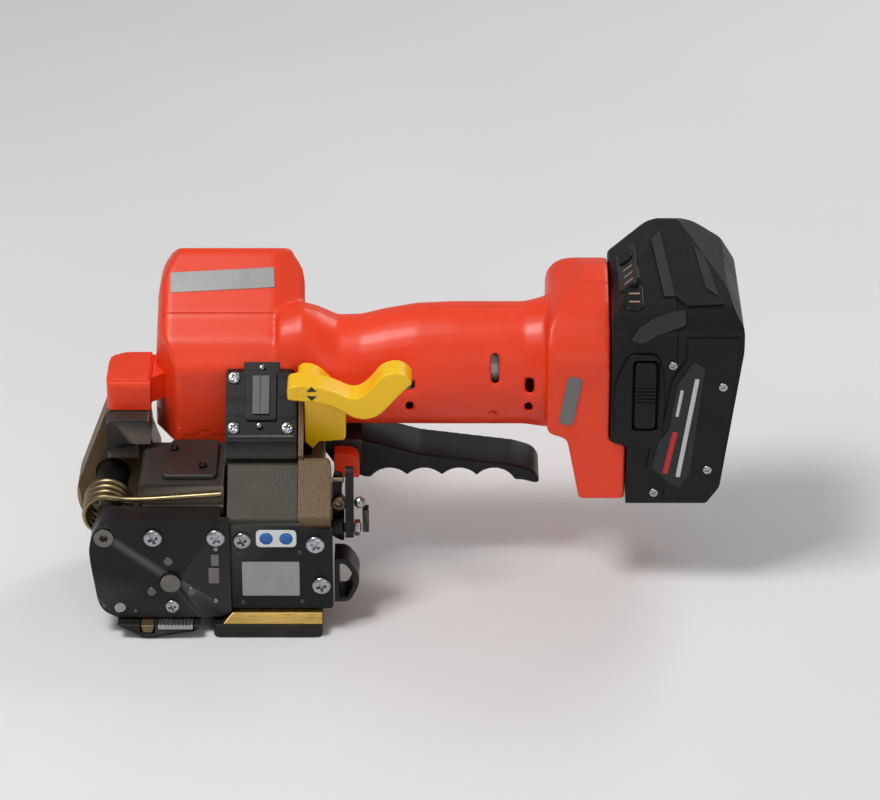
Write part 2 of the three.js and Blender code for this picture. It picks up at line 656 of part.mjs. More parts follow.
function tower(inset) {
  const { x0, x1, y0, y1, z0, front, rear } = TOWER;
  const plan = [
    [x0, y0 + 24, 8], [x0 + 12.5, y0, 3], [x1 - 5.3, y0, 3], [x1, y0 + 9, 4],
    [x1, y1 - 14, 4], [x1 - 15, y1, 5], [x0 + 14, y1, 5], [x0, y1 - 9, 4],
  ];
  const side = [
    [y0, z0, 2], [y1, z0, 2], [y1, rear - 9, 8], [RIDGE_Y, rear, 5],
    [y0 + 9, rear - 31.2, 2.5], [y0, front, 2.5],
  ];
  const section = [
    [x0 - 0.2, z0 - 60], [x1 + 0.2, z0 - 60], [x1 + 0.2, rear - 8.6, 3], [x1 - 13.5, rear + 0.2, 5],
    [x0 + 6, rear + 0.2, 4], [x0 + 2.5, rear - 9, 4], [x0 - 0.2, rear - 50, 10],
  ];
  const crown = [
    [x0 - 4, z0], [x1 + 4, z0], [x1 + 4, rear + 4], [x0 + 17, rear + 4],
    [x0 + 14, rear, 4], [x0 + 4, rear - 12.5, 5], [x0 - 4, rear - 58],
  ];
  return common(
    prism('z', shrunk(plan, inset), z0 - 1, rear + 1),
    prism('x', shrunk(side, inset), x0 - 1, x1 + 1),
    alongSlope(shrunk(section, inset), y1),
    prism('y', shrunk(crown, inset), y0 - 1, y1 + 1));
}

// Oval sections of the neck and the handle: [x, centre z, half width, half height].
const NECK_SECTIONS = [
  [4, 106, 22, 30.4], [16, 107.8, 23, 32.4], [24, 106.4, 24.6, 31], [34, 103.8, 25, 28.4],
  [46, 104, 25, 28.6], [58, 105.6, 25.5, 30.2], [74, 107, 26, 31.8], [92, 107.4, 26, 32.3],
  [128, 107.4, 26, 32.3], [137, 108, 28.5, 34], [146, 109, 31, 35.5],
];
function handle(inset) {
  const sides = 36;
  const positions = [];
  const ring = ([x, z, halfWidth, halfHeight], i) => {
    const angle = (2 * Math.PI * i) / sides;
    return [
      x,
      HANDLE.y + (halfWidth - inset) * Math.cos(angle),
      z + (halfHeight - inset) * Math.sin(angle),
    ];
  };
  const quad = (a, b, c, d) => positions.push(...a, ...b, ...c, ...a, ...c, ...d);
  for (let s = 0; s < NECK_SECTIONS.length - 1; s += 1) {
    for (let i = 0; i < sides; i += 1) {
      const near = NECK_SECTIONS[s];
      const far = NECK_SECTIONS[s + 1];
      quad(ring(near, i), ring(near, i + 1), ring(far, i + 1), ring(far, i));
    }
  }
  const first = NECK_SECTIONS[0];
  const last = NECK_SECTIONS[NECK_SECTIONS.length - 1];
  for (let i = 0; i < sides; i += 1) {
    positions.push(first[0], HANDLE.y, first[1], ...ring(first, i + 1), ...ring(first, i));
    positions.push(last[0], HANDLE.y, last[1], ...ring(last, i), ...ring(last, i + 1));
  }
  const geometry = new THREE.BufferGeometry();
  geometry.setAttribute('position', new THREE.Float32BufferAttribute(positions, 3));
  return solid(geometry);
}

function batteryMount(inset) {
  const { x0, x1, y0, y1, z0, z1 } = MOUNT;
  const front = [
    [x0 + 10, z0 + 35, 3], [x0 + 16.5, z0, 1], [x1 + 10.4, z0, 1],
    [x1 + 10.4, z0 + 32, 1], [x1 + 2, z0 + 34.5, 1],
    [x1 + 2, z1 + 5, 1], [x0 + 19, z1 + 5, 3], [x0 + 14, z1 - 1, 3], [x0 + 8, z1 - 2, 4], [x0, z1 - 10, 5],
    [x0, z0 + 38, 3],
  ];
  const side = [
    [y0, z0, 3], [y1, z0, 3], [y1, z1 - 2, 8], [y1 - 26, z1 + 5, 10], [y0 + 14, z1 - 6, 10], [y0, z1 - 22, 8],
  ];
  return common(
    prism('y', shrunk(front, inset), y0 - 1, y1 + 1),
    prism('x', shrunk(side, inset), x0 - 1, x1 + 12));
}

function housingForm(inset) {
  return join(tower(inset), handle(inset), batteryMount(inset));
}

// Cooling slots in the front of the handle: [x, low z, high z].
const VENTS = [[70.8, 104.5, 111], [70.3, 92, 97.5], [113.2, 108.5, 124], [130.5, 103.6, 112],
  [130, 92, 97.5], [112, 87.5, 91.5]];
const VENT_WIDTH = 3.4;
const KNOBS = [{ name: 'tension_knob', x: -35, z: 118 }, { name: 'weld_time_knob', x: -8, z: 118 }];
function housing() {
  const vents = VENTS.map(([x, low, high]) => (
    box(x - VENT_WIDTH / 2, x + VENT_WIDTH / 2, -5, 12, low, high)));
  const floorOpening = box(-44, 10, 18, 60, TOWER.z0 - 2, TOWER.z0 + 5);
  const terminalOpening = box(MOUNT.x1 - 4, MOUNT.x1 + 4, 14, 46, 92, 138);
  const knobHoles = KNOBS.map(({ x, z }) => rod('y', [x, z], 3.4, TOWER.y1 - 6, TOWER.y1 + 2, 16));
  const frontHole = rod('y', [-33.5, 77.9], 2.2, TOWER.y0 - 2, TOWER.y0 + 4, 12);
  return cut(housingForm(0), housingForm(WALL), floorOpening, terminalOpening, frontHole,
    ...vents, ...knobHoles);
}

const wholeHousing = housing();
function housingHalf(side) {
  const from = side < 0 ? -100 : SPLIT_Y + GAP / 2;
  const to = side < 0 ? SPLIT_Y - GAP / 2 : 200;
  return common(wholeHousing, box(-200, 300, from, to, 0, 300));
}

// Orange cover on the left shoulder, over the arch casting.
const SHOULDER = { x0: -82, x1: -59.9, y0: 7.5, y1: 42, z0: 92.6, z1: 108 };
function shoulderCover() {
  const { x0, x1, y0, y1, z0, z1 } = SHOULDER;
  const form = (inset) => common(
    prism('z', shrunk([[x0, y0, 4], [x1, y0, 0.5], [x1, y1, 0.5], [x0, y1, 12]], inset), z0, z1),
    prism('x', shrunk([[y0, z0], [y1, z0], [y1, z1, 5], [y0, z1, 4]], inset), x0 - 1, x1 + 1));
  return cut(form(0), form(WALL), box(x0 + WALL, x1 - WALL, y0 + WALL, y1 - WALL, z0 - 1, z0 + 4));
}

// ---------------------------------------------------------------------------------------------
// Drives and electronics inside the housing
// ---------------------------------------------------------------------------------------------

function tensionMotor() {
  const can = rod('z', [-25, 42], 17, 80, 112, 28);
  return join(can, rod('z', [-25, 42], 4, 75.4, 120, 16));
}

function weldMotor() {
  const can = rod('x', [HANDLE.y, HANDLE.z], 19.5, 64, 122, 28);
  return join(can, rod('x', [HANDLE.y, HANDLE.z], 3, 52, 134, 16));
}

function controlBoard() {
  const board = box(-46, 0, 63.4, 65, 84, 140);
  return join(board, box(-40, -20, 58, 64, 124, 136), box(-14, 0, 60, 64, 90, 104));
}

function terminalRail() {
  const { x1 } = MOUNT;
  const blockForm = box(x1 - 8, x1 + 1.8, 14.4, 45.6, 92.4, 137.6);
  const slots = [20, 30, 40].map((y) => box(x1 - 3, x1 + 3, y - 1.5, y + 1.5, 98, 139));
  return cut(blockForm, ...slots);
}

// ---------------------------------------------------------------------------------------------
// Battery
// ---------------------------------------------------------------------------------------------

const BATTERY_WALL = 2.4;
const CAP_X = 203;            // joint between the battery body and its end cap
function batteryForm(inset) {
  const { x0, x1, y0, y1, z0 } = BATTERY;
  const front = [
    [x0 + 9, z0], [x1 - 17, z0, 2], [x1 - 10, z0 + 10, 2], [x1, z0 + 86, 2], [x1, z0 + 98, 3],
    [x1 - 8, z0 + 111, 2], [x1 - 30, z0 + 125.5, 3], [x1 - 40, z0 + 125.5, 2], [x0 + 0.6, z0 + 103, 2],
    [x0 + 0.6, z0 + 36, 1], [x0 + 9, z0 + 33, 1],
  ];
  const side = [
    [y0, z0, 2], [y1, z0, 2], [y1, z0 + 120, 3], [y1 - 8, z0 + 126, 3],
    [y0 + 8, z0 + 106, 4], [y0, z0 + 96, 3],
  ];
  return common(
    prism('y', shrunk(front, inset), y0 - 1, y1 + 1),
    prism('x', shrunk(side, inset), x0 - 1, x1 + 1));
}

const LATCH = { x0: 182, x1: 193, z0: 92, z1: 129 };
const GAUGE_BUTTON = { x: 179, y: 46, radius: 4 };
function battery() {
  const { y0, y1 } = BATTERY;
  const latchHoles = [[y0 - 1, y0 + 5], [y1 - 5, y1 + 1]].map(([from, to]) => box(
    LATCH.x0 - GAP * 2, LATCH.x1 + GAP * 2, from, to, LATCH.z0 - GAP * 2, LATCH.z1 + GAP * 2));
  const gaugeHole = rod('z', [GAUGE_BUTTON.x, GAUGE_BUTTON.y], GAUGE_BUTTON.radius + GAP, 140, 175, 16);
  const contactOpening = box(BATTERY.x0 - 1, BATTERY.x0 + 4, 16, 44, 94, 136);
  return cut(batteryForm(0), batteryForm(BATTERY_WALL), ...latchHoles, gaugeHole, contactOpening);
}

const wholeBattery = battery();
function batteryBody() {
  return common(wholeBattery, box(0, CAP_X - GAP / 2, -50, 200, 0, 300));
}

function batteryCap() {
  return common(wholeBattery, box(CAP_X + GAP / 2, 400, -50, 200, 0, 300));
}

function cellPack() {
  const cells = [];
  for (const x of [196.5, 215]) {
    for (let row = 0; row < 4; row += 1) {
      cells.push(rod('y', [x - 2, 63 + row * 19], 9.1, 1, 59, 16));
    }
  }
  return join(box(190, 214, 4, 56, 60, 122), ...cells);
}

// Squeeze button that frees the battery; its face is ribbed.
function batteryLatch(side) {
  const { x0, x1, z0, z1 } = LATCH;
  const [from, to] = side < 0 ? [BATTERY.y0 - 2.6, BATTERY.y0 + 6] : [BATTERY.y1 - 6, BATTERY.y1 + 2.6];
  const face = side < 0 ? from : to;
  const grooves = [];
  for (let i = 0; i < 5; i += 1) {
    grooves.push(box(x0 - 1, x1 + 1, face - 0.6, face + 0.6, 104 + i * 2.4, 105.2 + i * 2.4));
  }
  return cut(box(x0, x1, from, to, z0, z1), ...grooves);
}

function gaugeButton() {
  const { x, y, radius } = GAUGE_BUTTON;
  return rod('z', [x, y], radius, 151, 160.6, 16);
}

function adjusterKnob({ x, z }) {
  const shape = new THREE.Shape();
  const flutes = 18;
  for (let i = 0; i < flutes * 2; i += 1) {
    const angle = (Math.PI * i) / flutes;
    const r = i % 2 ? 8.6 : 9.4;
    const point = [x + r * Math.cos(angle), z + r * Math.sin(angle)];
    if (i === 0) {
      shape.moveTo(...point);
    } else {
      shape.lineTo(...point);
    }
  }
  shape.closePath();
  const cap = prism('y', shape, TOWER.y1 + GAP, TOWER.y1 + 7);
  return join(cap, rod('y', [x, z], 3, TOWER.y1 - 5, TOWER.y1 + 1, 16));
}

// ---------------------------------------------------------------------------------------------
// Assembly
// ---------------------------------------------------------------------------------------------

add('base_frame', baseFrame(), DARK_STEEL);
add('wear_plate', wearPlate(), BRASS);
add('tension_foot', tensionFoot(), DARK_STEEL);
add('gripper_plate', gripperPlate(), STEEL);
add('gripper_clamp', gripperClamp(), BRONZE);
add('main_casting', mainCasting(), CAST);
add('arch_housing', archHousing(), CAST);
add('tension_gear_housing', tensionGearHousing(), BRONZE);

add('rocker_shaft', rockerShaft(), STEEL);
add('shaft_sleeve', shaftSleeve(), BLACK_METAL);
add('torsion_spring', torsionSpring(), BRASS);
add('rocker_cover', rockerCover(), BLACK_METAL);
add('rocker_casting', rockerCasting(), CAST);
add('casting_lid', castingLid(), CAST);
add('tension_wheel', tensionWheel(), STEEL);

add('weld_block', weldBlock(), OLIVE);
add('weld_jaw', weldJaw(), STEEL);
add('cutter_blade', cutterBlade(), STEEL);
add('eccentric_shaft', eccentricShaft(), STEEL);
add('weld_rib', weldRib(), BRONZE);
add('weld_front_plate', weldFrontPlate(), BLACK_METAL);
add('name_cover', nameCover(), BLACK_METAL);
add('name_panel', namePanel(), BLACK_METAL);
add('name_strips', nameStrips(), SILVER);

add('weld_lever', weldLever(), YELLOW);
add('lever_bracket', leverBracket(), YELLOW);
add('lever_pin', leverPin(), STEEL);
add('grip_lever', gripLever(), RUBBER);
add('grip_lever_pin', gripLeverPin(), STEEL);
add('grip_fork', gripFork(), DARK_STEEL);
add('pivot_cap', pivotCap(), ORANGE);
add('link_boss', linkBoss(), DARK_STEEL);
add('link_arm', linkArm(), DARK_STEEL);
add('link_nut', linkNut(), STEEL);
add('ball_stud', ballStud(), STEEL);
add('strap_guide', strapGuide(), DARK_STEEL);

add('housing_front', housingHalf(-1), ORANGE);
add('housing_rear', housingHalf(1), ORANGE);
add('shoulder_cover', shoulderCover(), ORANGE);
add('tension_motor', tensionMotor(), STEEL);
add('weld_motor', weldMotor(), SILVER);
add('control_board', controlBoard(), GREEN);
add('terminal_rail', terminalRail(), BLACK_PLASTIC);
for (const knob of KNOBS) {
  add(knob.name, adjusterKnob(knob), BLACK_PLASTIC);
}

add('battery_body', batteryBody(), BLACK_PLASTIC);
add('battery_cap', batteryCap(), BLACK_PLASTIC);
add('cell_pack', cellPack(), GREEN);
add('battery_latch_front', batteryLatch(-1), BLACK_PLASTIC);
add('battery_latch_rear', batteryLatch(1), BLACK_PLASTIC);
add('gauge_button', gaugeButton(), BLACK_PLASTIC);

// Pan-head screws: [name, x, z, radius, y of the face under the head]
const FRONT_SCREWS = [
  ['rocker_screw_left', -56.2, 55, 4.7, ROCKER_FRONT],
  ['rocker_screw_right', -25.2, 55, 4.7, ROCKER_FRONT],
  ['rocker_screw_low', -47.7, 15.8, 3.6, ROCKER_FRONT],
  ['plate_screw_left', -12.4, 52.2, 4.5, PLATE.y0],
  ['plate_screw_right', 23.8, 49.8, 4.7, PLATE.y0],
  ['plate_screw_low', 26.5, 26.4, 4.7, PLATE.y0],
];
for (const [name, x, z, radius, y] of FRONT_SCREWS) {
  add(name, onFront(screwHead(radius, 2.8), x, y - GAP, z), STEEL);
}

// Screws on the sloping name cover: [name, x, distance up the slope]
const NAME_SCREWS = [['name_screw_top', -17.2, 33.4], ['name_screw_low_left', -17.2, 7.2],
  ['name_screw_low_right', 9.6, 7.2]];
for (const [name, x, along] of NAME_SCREWS) {
  add(name, onSlope(screwHead(3.1, 2.2), x, along, GAP), STEEL);
}

export default tool;
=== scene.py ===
import json
import math

import bmesh
import bpy
from bpy.props import FloatProperty, FloatVectorProperty, IntProperty, PointerProperty
from mathutils import Matrix, Vector


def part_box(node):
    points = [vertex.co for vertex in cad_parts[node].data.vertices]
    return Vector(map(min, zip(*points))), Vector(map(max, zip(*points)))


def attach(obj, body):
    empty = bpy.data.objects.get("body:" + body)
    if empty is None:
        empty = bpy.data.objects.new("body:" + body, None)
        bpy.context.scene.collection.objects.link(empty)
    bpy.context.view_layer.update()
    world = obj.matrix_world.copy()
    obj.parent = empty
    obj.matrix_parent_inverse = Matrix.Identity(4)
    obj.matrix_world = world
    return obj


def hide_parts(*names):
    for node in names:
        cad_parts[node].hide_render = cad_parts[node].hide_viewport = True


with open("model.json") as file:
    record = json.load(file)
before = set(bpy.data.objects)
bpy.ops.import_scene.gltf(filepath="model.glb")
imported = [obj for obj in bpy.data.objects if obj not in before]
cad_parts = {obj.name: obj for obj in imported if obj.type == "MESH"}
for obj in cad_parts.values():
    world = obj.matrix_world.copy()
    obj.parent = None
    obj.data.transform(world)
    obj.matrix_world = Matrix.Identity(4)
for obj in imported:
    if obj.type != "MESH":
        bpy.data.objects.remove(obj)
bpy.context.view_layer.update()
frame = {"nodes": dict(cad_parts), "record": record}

bl_info = {
    "name": "Battery Strapping Tool",
    "version": (1, 0, 0),
    "blender": (4, 5, 0),
    "location": "View3D > Sidebar > Strapping Tool",
    "description": "Builds the visible pieces of a battery strapping tool round its CAD frame",
    "category": "Object",
}

MM = 0.001  # A mesh is in metres; the outlines, profiles and places below are in millimetres
BODY_OF = {node: body for body, nodes in frame["record"]["behaviour"]["bodies"].items() for node in nodes}
SLOT_OF = {entry["node"]: entry["material_slot"] for entry in frame["record"]["subparts"]}


# ---------------------------------------------------------------------------------------------
# Settings that a user would change
# ---------------------------------------------------------------------------------------------

def colour_setting(name, description, default):
    return FloatVectorProperty(name=name, description=description, subtype="COLOR", size=3, min=0, max=1,
                               default=default)


class ToolColours(bpy.types.PropertyGroup):
    """Colours of the tool's finishes."""

    housing: colour_setting("Housing", "Moulded orange housing", (0.86, 0.048, 0.007))
    lever: colour_setting("Weld lever", "Yellow plastic of the weld lever", (0.93, 0.55, 0.0))
    coat: colour_setting("Black coat", "Black coating of the cover plates", (0.0045, 0.0045, 0.0052))
    casting: colour_setting("Black casting", "Black cast housings", (0.0095, 0.0088, 0.0078))
    bronze: colour_setting("Brown casting", "Brown anodised castings", (0.115, 0.072, 0.036))
    # The weld block's colour is its paint darkened by painted shade. The rib's brown, taken from the bronze
    # colour, is the same paint lightened by painted sunlight.
    olive: colour_setting("Weld block", "Olive black weld block", (0.026, 0.023, 0.014))
    brass: colour_setting("Wear plate", "Gold-coloured wear plate", (0.52, 0.34, 0.10))
    battery: colour_setting("Battery", "Black plastic of the battery", (0.0042, 0.0042, 0.0048))


class ToolSizes(bpy.types.PropertyGroup):
    """Sizes of the visible detail."""

    edge: FloatProperty(
        name="Machined edge", description="Chamfer on machined and coated edges", unit="LENGTH",
        default=0.45 * MM, min=0.05 * MM, max=2 * MM)
    cast_edge: FloatProperty(
        name="Cast edge", description="Rounding of cast edges", unit="LENGTH",
        default=1.1 * MM, min=0.2 * MM, max=3 * MM)
    skin: FloatProperty(
        name="Housing mesh", description="Mesh size of the moulded housing", unit="LENGTH",
        default=1.0 * MM, min=0.7 * MM, max=4 * MM)
    screw_recess: FloatProperty(
        name="Screw recess", description="Width of a screw's cross recess over its head",
        default=0.16, min=0.05, max=0.4)
    coil_sides: IntProperty(
        name="Spring wire sides", description="Sides of the spring's round wire",
        default=14, min=6, max=48)


def colour_of(name):
    return tuple(getattr(bpy.context.scene.strapping_colours, name))


def sizes():
    return bpy.context.scene.strapping_sizes


# ---------------------------------------------------------------------------------------------
# Finishes
# ---------------------------------------------------------------------------------------------

class Finish:
    """A material under construction, with short ways to add and link nodes."""

    def __init__(self, name):
        self.material = bpy.data.materials.new(name)
        self.material.use_nodes = True
        self.tree = self.material.node_tree
        self.shader = self.tree.nodes["Principled BSDF"]
        self.coords = self.tree.nodes.new("ShaderNodeTexCoord").outputs["Object"]

    def node(self, kind, **settings):
        made = self.tree.nodes.new(kind)
        for key, value in settings.items():
            setattr(made, key, value)
        return made

    def link(self, start, end):
        self.tree.links.new(start, end)

    def stretched(self, scale):
        mapping = self.node("ShaderNodeMapping")
        mapping.inputs["Scale"].default_value = scale
        self.link(self.coords, mapping.inputs["Vector"])
        return mapping.outputs["Vector"]

    def noise(self, scale, detail=4.0, rough=0.55, stretch=None):
        made = self.node("ShaderNodeTexNoise")
        made.inputs["Scale"].default_value = scale
        made.inputs["Detail"].default_value = detail
        made.inputs["Roughness"].default_value = rough
        self.link(self.stretched(stretch) if stretch else self.coords, made.inputs["Vector"])
        return made.outputs["Fac"]

    def cells(self, scale):
        made = self.node("ShaderNodeTexVoronoi")
        made.inputs["Scale"].default_value = scale
        self.link(self.coords, made.inputs["Vector"])
        return made.outputs["Distance"]

    def ramp(self, value, stops):
        made = self.node("ShaderNodeValToRGB")
        elements = made.color_ramp.elements
        while len(elements) < len(stops):
            elements.new(0.5)
        for element, (place, colour) in zip(elements, stops):
            element.position = place
            element.color = (*colour, 1.0)
        self.link(value, made.inputs["Fac"])
        return made.outputs["Color"]

    def span(self, value, low, high, start=0.3, end=0.7):
        made = self.node("ShaderNodeMapRange")
        made.inputs["From Min"].default_value = start
        made.inputs["From Max"].default_value = end
        made.inputs["To Min"].default_value = low
        made.inputs["To Max"].default_value = high
        self.link(value, made.inputs["Value"])
        return made.outputs["Result"]

    def blend(self, factor, first, second):
        made = self.node("ShaderNodeMix", data_type="RGBA")
        for socket, value in ((made.inputs[6], first), (made.inputs[7], second)):
            if isinstance(value, bpy.types.NodeSocket):
                self.link(value, socket)
            else:
                socket.default_value = (*value, 1.0)
        self.link(factor, made.inputs["Factor"])
        return made.outputs[2]

    def bump(self, *heights):
        """Chains bumps of (height, strength, distance in metres) into the shader's normal."""
        normal = None
        for height, strength, distance in heights:
            made = self.node("ShaderNodeBump")
            made.inputs["Strength"].default_value = strength
            made.inputs["Distance"].default_value = distance
            self.link(height, made.inputs["Height"])
            if normal:
                self.link(normal, made.inputs["Normal"])
            normal = made.outputs["Normal"]
        self.link(normal, self.shader.inputs["Normal"])

    def edges(self, low=0.52, high=0.62):
        """1 on convex edges, 0 elsewhere, for wear."""
        return self.span(self.node("ShaderNodeNewGeometry").outputs["Pointiness"], 0.0, 1.0, low, high)

    def set(self, **values):
        names = {"metal": "Metallic", "rough": "Roughness", "coat": "Coat Weight",
                 "coat_rough": "Coat Roughness", "specular": "Specular IOR Level",
                 "colour": "Base Color"}
        for key, value in values.items():
            socket = self.shader.inputs[names[key]]
            if isinstance(value, bpy.types.NodeSocket):
                self.link(value, socket)
            elif key == "colour":
                socket.default_value = (*value, 1.0)
            else:
                socket.default_value = value


def scaled(colour, factor):
    return tuple(min(1.0, channel * factor) for channel in colour)


def moulded_plastic(name, colour, rough=0.42, grain=0.05, spread=0.1, coat=0.0, specular=0.4):
    """Moulded plastic: faint colour drift, spark-eroded grain, light scuffs."""
    look = Finish(name)
    drift = look.noise(9, 3)
    scuffs = look.noise(60, 6, 0.7, stretch=(1.0, 2.2, 0.7))
    base = look.ramp(drift, [(0.3, scaled(colour, 1 - spread)), (0.7, scaled(colour, 1 + spread))])
    look.set(colour=look.blend(look.span(scuffs, 0, 0.22, 0.58, 0.75), base, scaled(colour, 1.35)),
             rough=look.span(scuffs, rough - 0.06, rough + 0.1), coat=coat, coat_rough=0.25,
             specular=specular)
    look.bump((look.cells(1400), grain, 0.0002), (look.noise(220, 4), grain * 1.2, 0.0004))
    return look.material


def coated_metal(name, colour, rough=0.36, metal=0.0, dirt=0.5):
    """Black coated plate: satin coat with rubbed edges, fine orange peel and dust."""
    look = Finish(name)
    dust = look.noise(34, 7, 0.65)
    marks = look.noise(110, 5, 0.6, stretch=(0.25, 1.0, 2.4))
    worn = look.blend(look.span(dust, 0, 0.5 * dirt, 0.5, 0.72), colour, scaled(colour, 3.2))
    rubbed = look.blend(look.edges(0.54, 0.70), worn, (0.09, 0.085, 0.08))
    look.set(colour=rubbed, rough=look.span(marks, rough - 0.07, rough + 0.14), metal=metal, specular=0.28)
    look.bump((look.noise(900, 3), 0.06, 0.0002), (look.noise(70, 3), 0.05, 0.0006))
    return look.material


def cast_metal(name, colour, rough=0.55, metal=0.55, grain=0.35, wear=(0.2, 0.17, 0.14)):
    """Sand-cast and coated metal: granular skin, darker hollows, rubbed edges."""
    look = Finish(name)
    grains = look.noise(900, 5, 0.6)
    stains = look.noise(26, 6, 0.6)
    skin = look.ramp(stains, [(0.28, scaled(colour, 0.6)), (0.5, colour), (0.74, scaled(colour, 1.55))])
    flecked = look.blend(look.span(grains, 0, 0.45, 0.56, 0.75), skin, scaled(colour, 2.4))
    look.set(colour=look.blend(look.edges(), flecked, wear), metal=metal,
             rough=look.span(stains, rough - 0.08, rough + 0.14))
    look.bump((grains, grain, 0.0005), (look.cells(700), grain * 0.4, 0.0003))
    return look.material


def machined_steel(name, colour=(0.56, 0.56, 0.57), rough=0.28, lines=(1.0, 40.0, 1.0), stain=0.5):
    """Ground steel with fine tool lines along one direction and faint staining."""
    look = Finish(name)
    grind = look.noise(160, 4, 0.6, stretch=lines)
    cloud = look.noise(40, 5)
    tone = look.ramp(cloud, [(0.3, scaled(colour, 1 - 0.45 * stain)), (0.68, colour)])
    look.set(colour=tone, metal=1.0, rough=look.span(grind, rough - 0.08, rough + 0.16))
    look.bump((grind, 0.12, 0.0002), (look.noise(500, 3), 0.08, 0.0002))
    return look.material


def printed(name, colour, rough=0.45):
    """Printed or painted patch with faint wear."""
    look = Finish(name)
    wear = look.noise(300, 5, 0.7)
    look.set(colour=look.blend(look.span(wear, 0, 0.35, 0.55, 0.72), colour, scaled(colour, 0.7)),
             rough=look.span(wear, rough - 0.05, rough + 0.1))
    look.bump((wear, 0.05, 0.0001))
    return look.material


def label_foil(name, colour):
    """Silver label foil: brushed, lightly soiled."""
    look = Finish(name)
    brush = look.noise(240, 3, 0.5, stretch=(30.0, 1.0, 1.0))
    soil = look.noise(60, 5)
    look.set(colour=look.blend(look.span(soil, 0, 0.5, 0.5, 0.75), colour, scaled(colour, 0.72)),
             metal=0.55, rough=look.span(brush, 0.28, 0.44))
    look.bump((brush, 0.05, 0.0001))
    return look.material


# ---------------------------------------------------------------------------------------------
# Mesh work
# ---------------------------------------------------------------------------------------------

def linked(name, mesh):
    made = bpy.data.objects.new(name, mesh)
    bpy.context.scene.collection.objects.link(made)
    return made


def from_bmesh(name, bm, smooth=True):
    """A new object from a bmesh, with faces out and doubles merged."""
    bmesh.ops.remove_doubles(bm, verts=bm.verts, dist=0.002 * MM)
    bmesh.ops.recalc_face_normals(bm, faces=bm.faces)
    mesh = bpy.data.meshes.new(name)
    bm.to_mesh(mesh)
    bm.free()
    mesh.polygons.foreach_set("use_smooth", [smooth] * len(mesh.polygons))
    return linked(name, mesh)


def applied(made):
    """The object with its modifiers worked into a plain mesh."""
    graph = bpy.context.evaluated_depsgraph_get()
    graph.update()
    mesh = bpy.data.meshes.new_from_object(
        made.evaluated_get(graph), preserve_all_data_layers=True, depsgraph=graph)
    old = made.data
    made.modifiers.clear()
    if made.type != "MESH":
        name = made.name
        bpy.data.objects.remove(made)
        return linked(name, mesh)
    made.data = mesh
    bpy.data.meshes.remove(old)
    return made


def copied(node, name, split_faces=False):
    """A merged copy of a CAD node's mesh with its flat faces whole again, or in neat triangles."""
    bm = bmesh.new()
    bm.from_mesh(frame["nodes"][node].data)
    bmesh.ops.remove_doubles(bm, verts=bm.verts, dist=0.01 * MM)
    bmesh.ops.dissolve_limit(bm, angle_limit=math.radians(1.0), verts=bm.verts, edges=bm.edges)
    if split_faces:
        bmesh.ops.triangulate(bm, faces=bm.faces)
    return from_bmesh(name, bm)


def bevelled(made, width, segments=2, angle=28.0, weighted=True):
    """Rounds every edge sharper than the angle and shades the faces flat between them."""
    bevel = made.modifiers.new("Bevel", "BEVEL")
    bevel.width = width * MM
    bevel.segments = segments
    bevel.limit_method = "ANGLE"
    bevel.angle_limit = math.radians(angle)
    bevel.use_clamp_overlap = True
    if weighted:
        made.modifiers.new("Weighted", "WEIGHTED_NORMAL").keep_sharp = True
    return applied(made)


def remeshed(made, voxel, rounds, keep=None):
    """Voxel remesh, then even smoothing; keep(point) is 1 where a point must stay."""
    remesh = made.modifiers.new("Skin", "REMESH")
    remesh.mode = "VOXEL"
    remesh.voxel_size = voxel
    remesh.use_smooth_shade = True
    made = applied(made)
    bm = bmesh.new()
    bm.from_mesh(made.data)
    free = [v for v in bm.verts if not (keep and keep(v.co))]
    for _ in range(rounds):
        bmesh.ops.smooth_vert(bm, verts=free, factor=0.5, use_axis_x=True, use_axis_y=True, use_axis_z=True)
    bm.to_mesh(made.data)
    bm.free()
    made.data.polygons.foreach_set("use_smooth", [True] * len(made.data.polygons))
    return made


def flat_faced(made, largest=0.6):
    """Shades faces above a size, in square millimetres, flat and the small ones between them smooth."""
    made.data.polygons.foreach_set(
        "use_smooth", [polygon.area < largest * MM * MM for polygon in made.data.polygons])
    return made


def finished(made, material, body, slot, *nodes):
    """Gives a piece its material and its body, and hides the CAD nodes it stands for; the slot argument is
    not used.
    """
    if material:
        made.data.materials.clear()
        made.data.materials.append(material)
    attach(made, body)
    if nodes:
        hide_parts(*nodes)
    return made


def stands_for(node, made, material):
    """Finishes a piece that takes one CAD node's place and body."""
    return finished(made, material, BODY_OF[node], SLOT_OF[node], node)


def keep_node(node, material):
    """Shows the CAD node itself with a better material."""
    target = frame["nodes"][node]
    target.data.materials.clear()
    target.data.materials.append(material)
    return target


def shift(x, y, z):
    return Matrix.Translation(Vector((x, y, z)) * MM)


def spin(degrees):
    return Matrix.Rotation(math.radians(degrees), 4, "Z")


def basis(origin, across, up):
    """Matrix whose x runs along across, y along up and z out of the face that they lie in."""
    x = Vector(across).normalized()
    z = x.cross(Vector(up)).normalized()
    y = z.cross(x)
    turned = Matrix((x, y, z)).transposed().to_4x4()
    return shift(*origin) @ turned


def on_front(x, y, z):
    """A place on a face that looks to the front."""
    return basis((x, y, z), (1, 0, 0), (0, 0, 1))


def rounded(points, radius, steps=5):
    """The outline with its corners rounded; a point may carry its own radius."""
    made = []
    count = len(points)
    for i, point in enumerate(points):
        corner = Vector(point[:2])
        own = point[2] if len(point) > 2 else radius
        before = Vector(points[i - 1][:2]) - corner
        after = Vector(points[(i + 1) % count][:2]) - corner
        reach = min(own, before.length * 0.49, after.length * 0.49)
        if reach == 0:
            made.append(tuple(corner))
            continue
        start = corner + before.normalized() * reach
        end = corner + after.normalized() * reach
        for k in range(steps + 1):
            t = k / steps
            made.append(tuple(start * (1 - t) ** 2 + corner * 2 * t * (1 - t) + end * t * t))
    return made


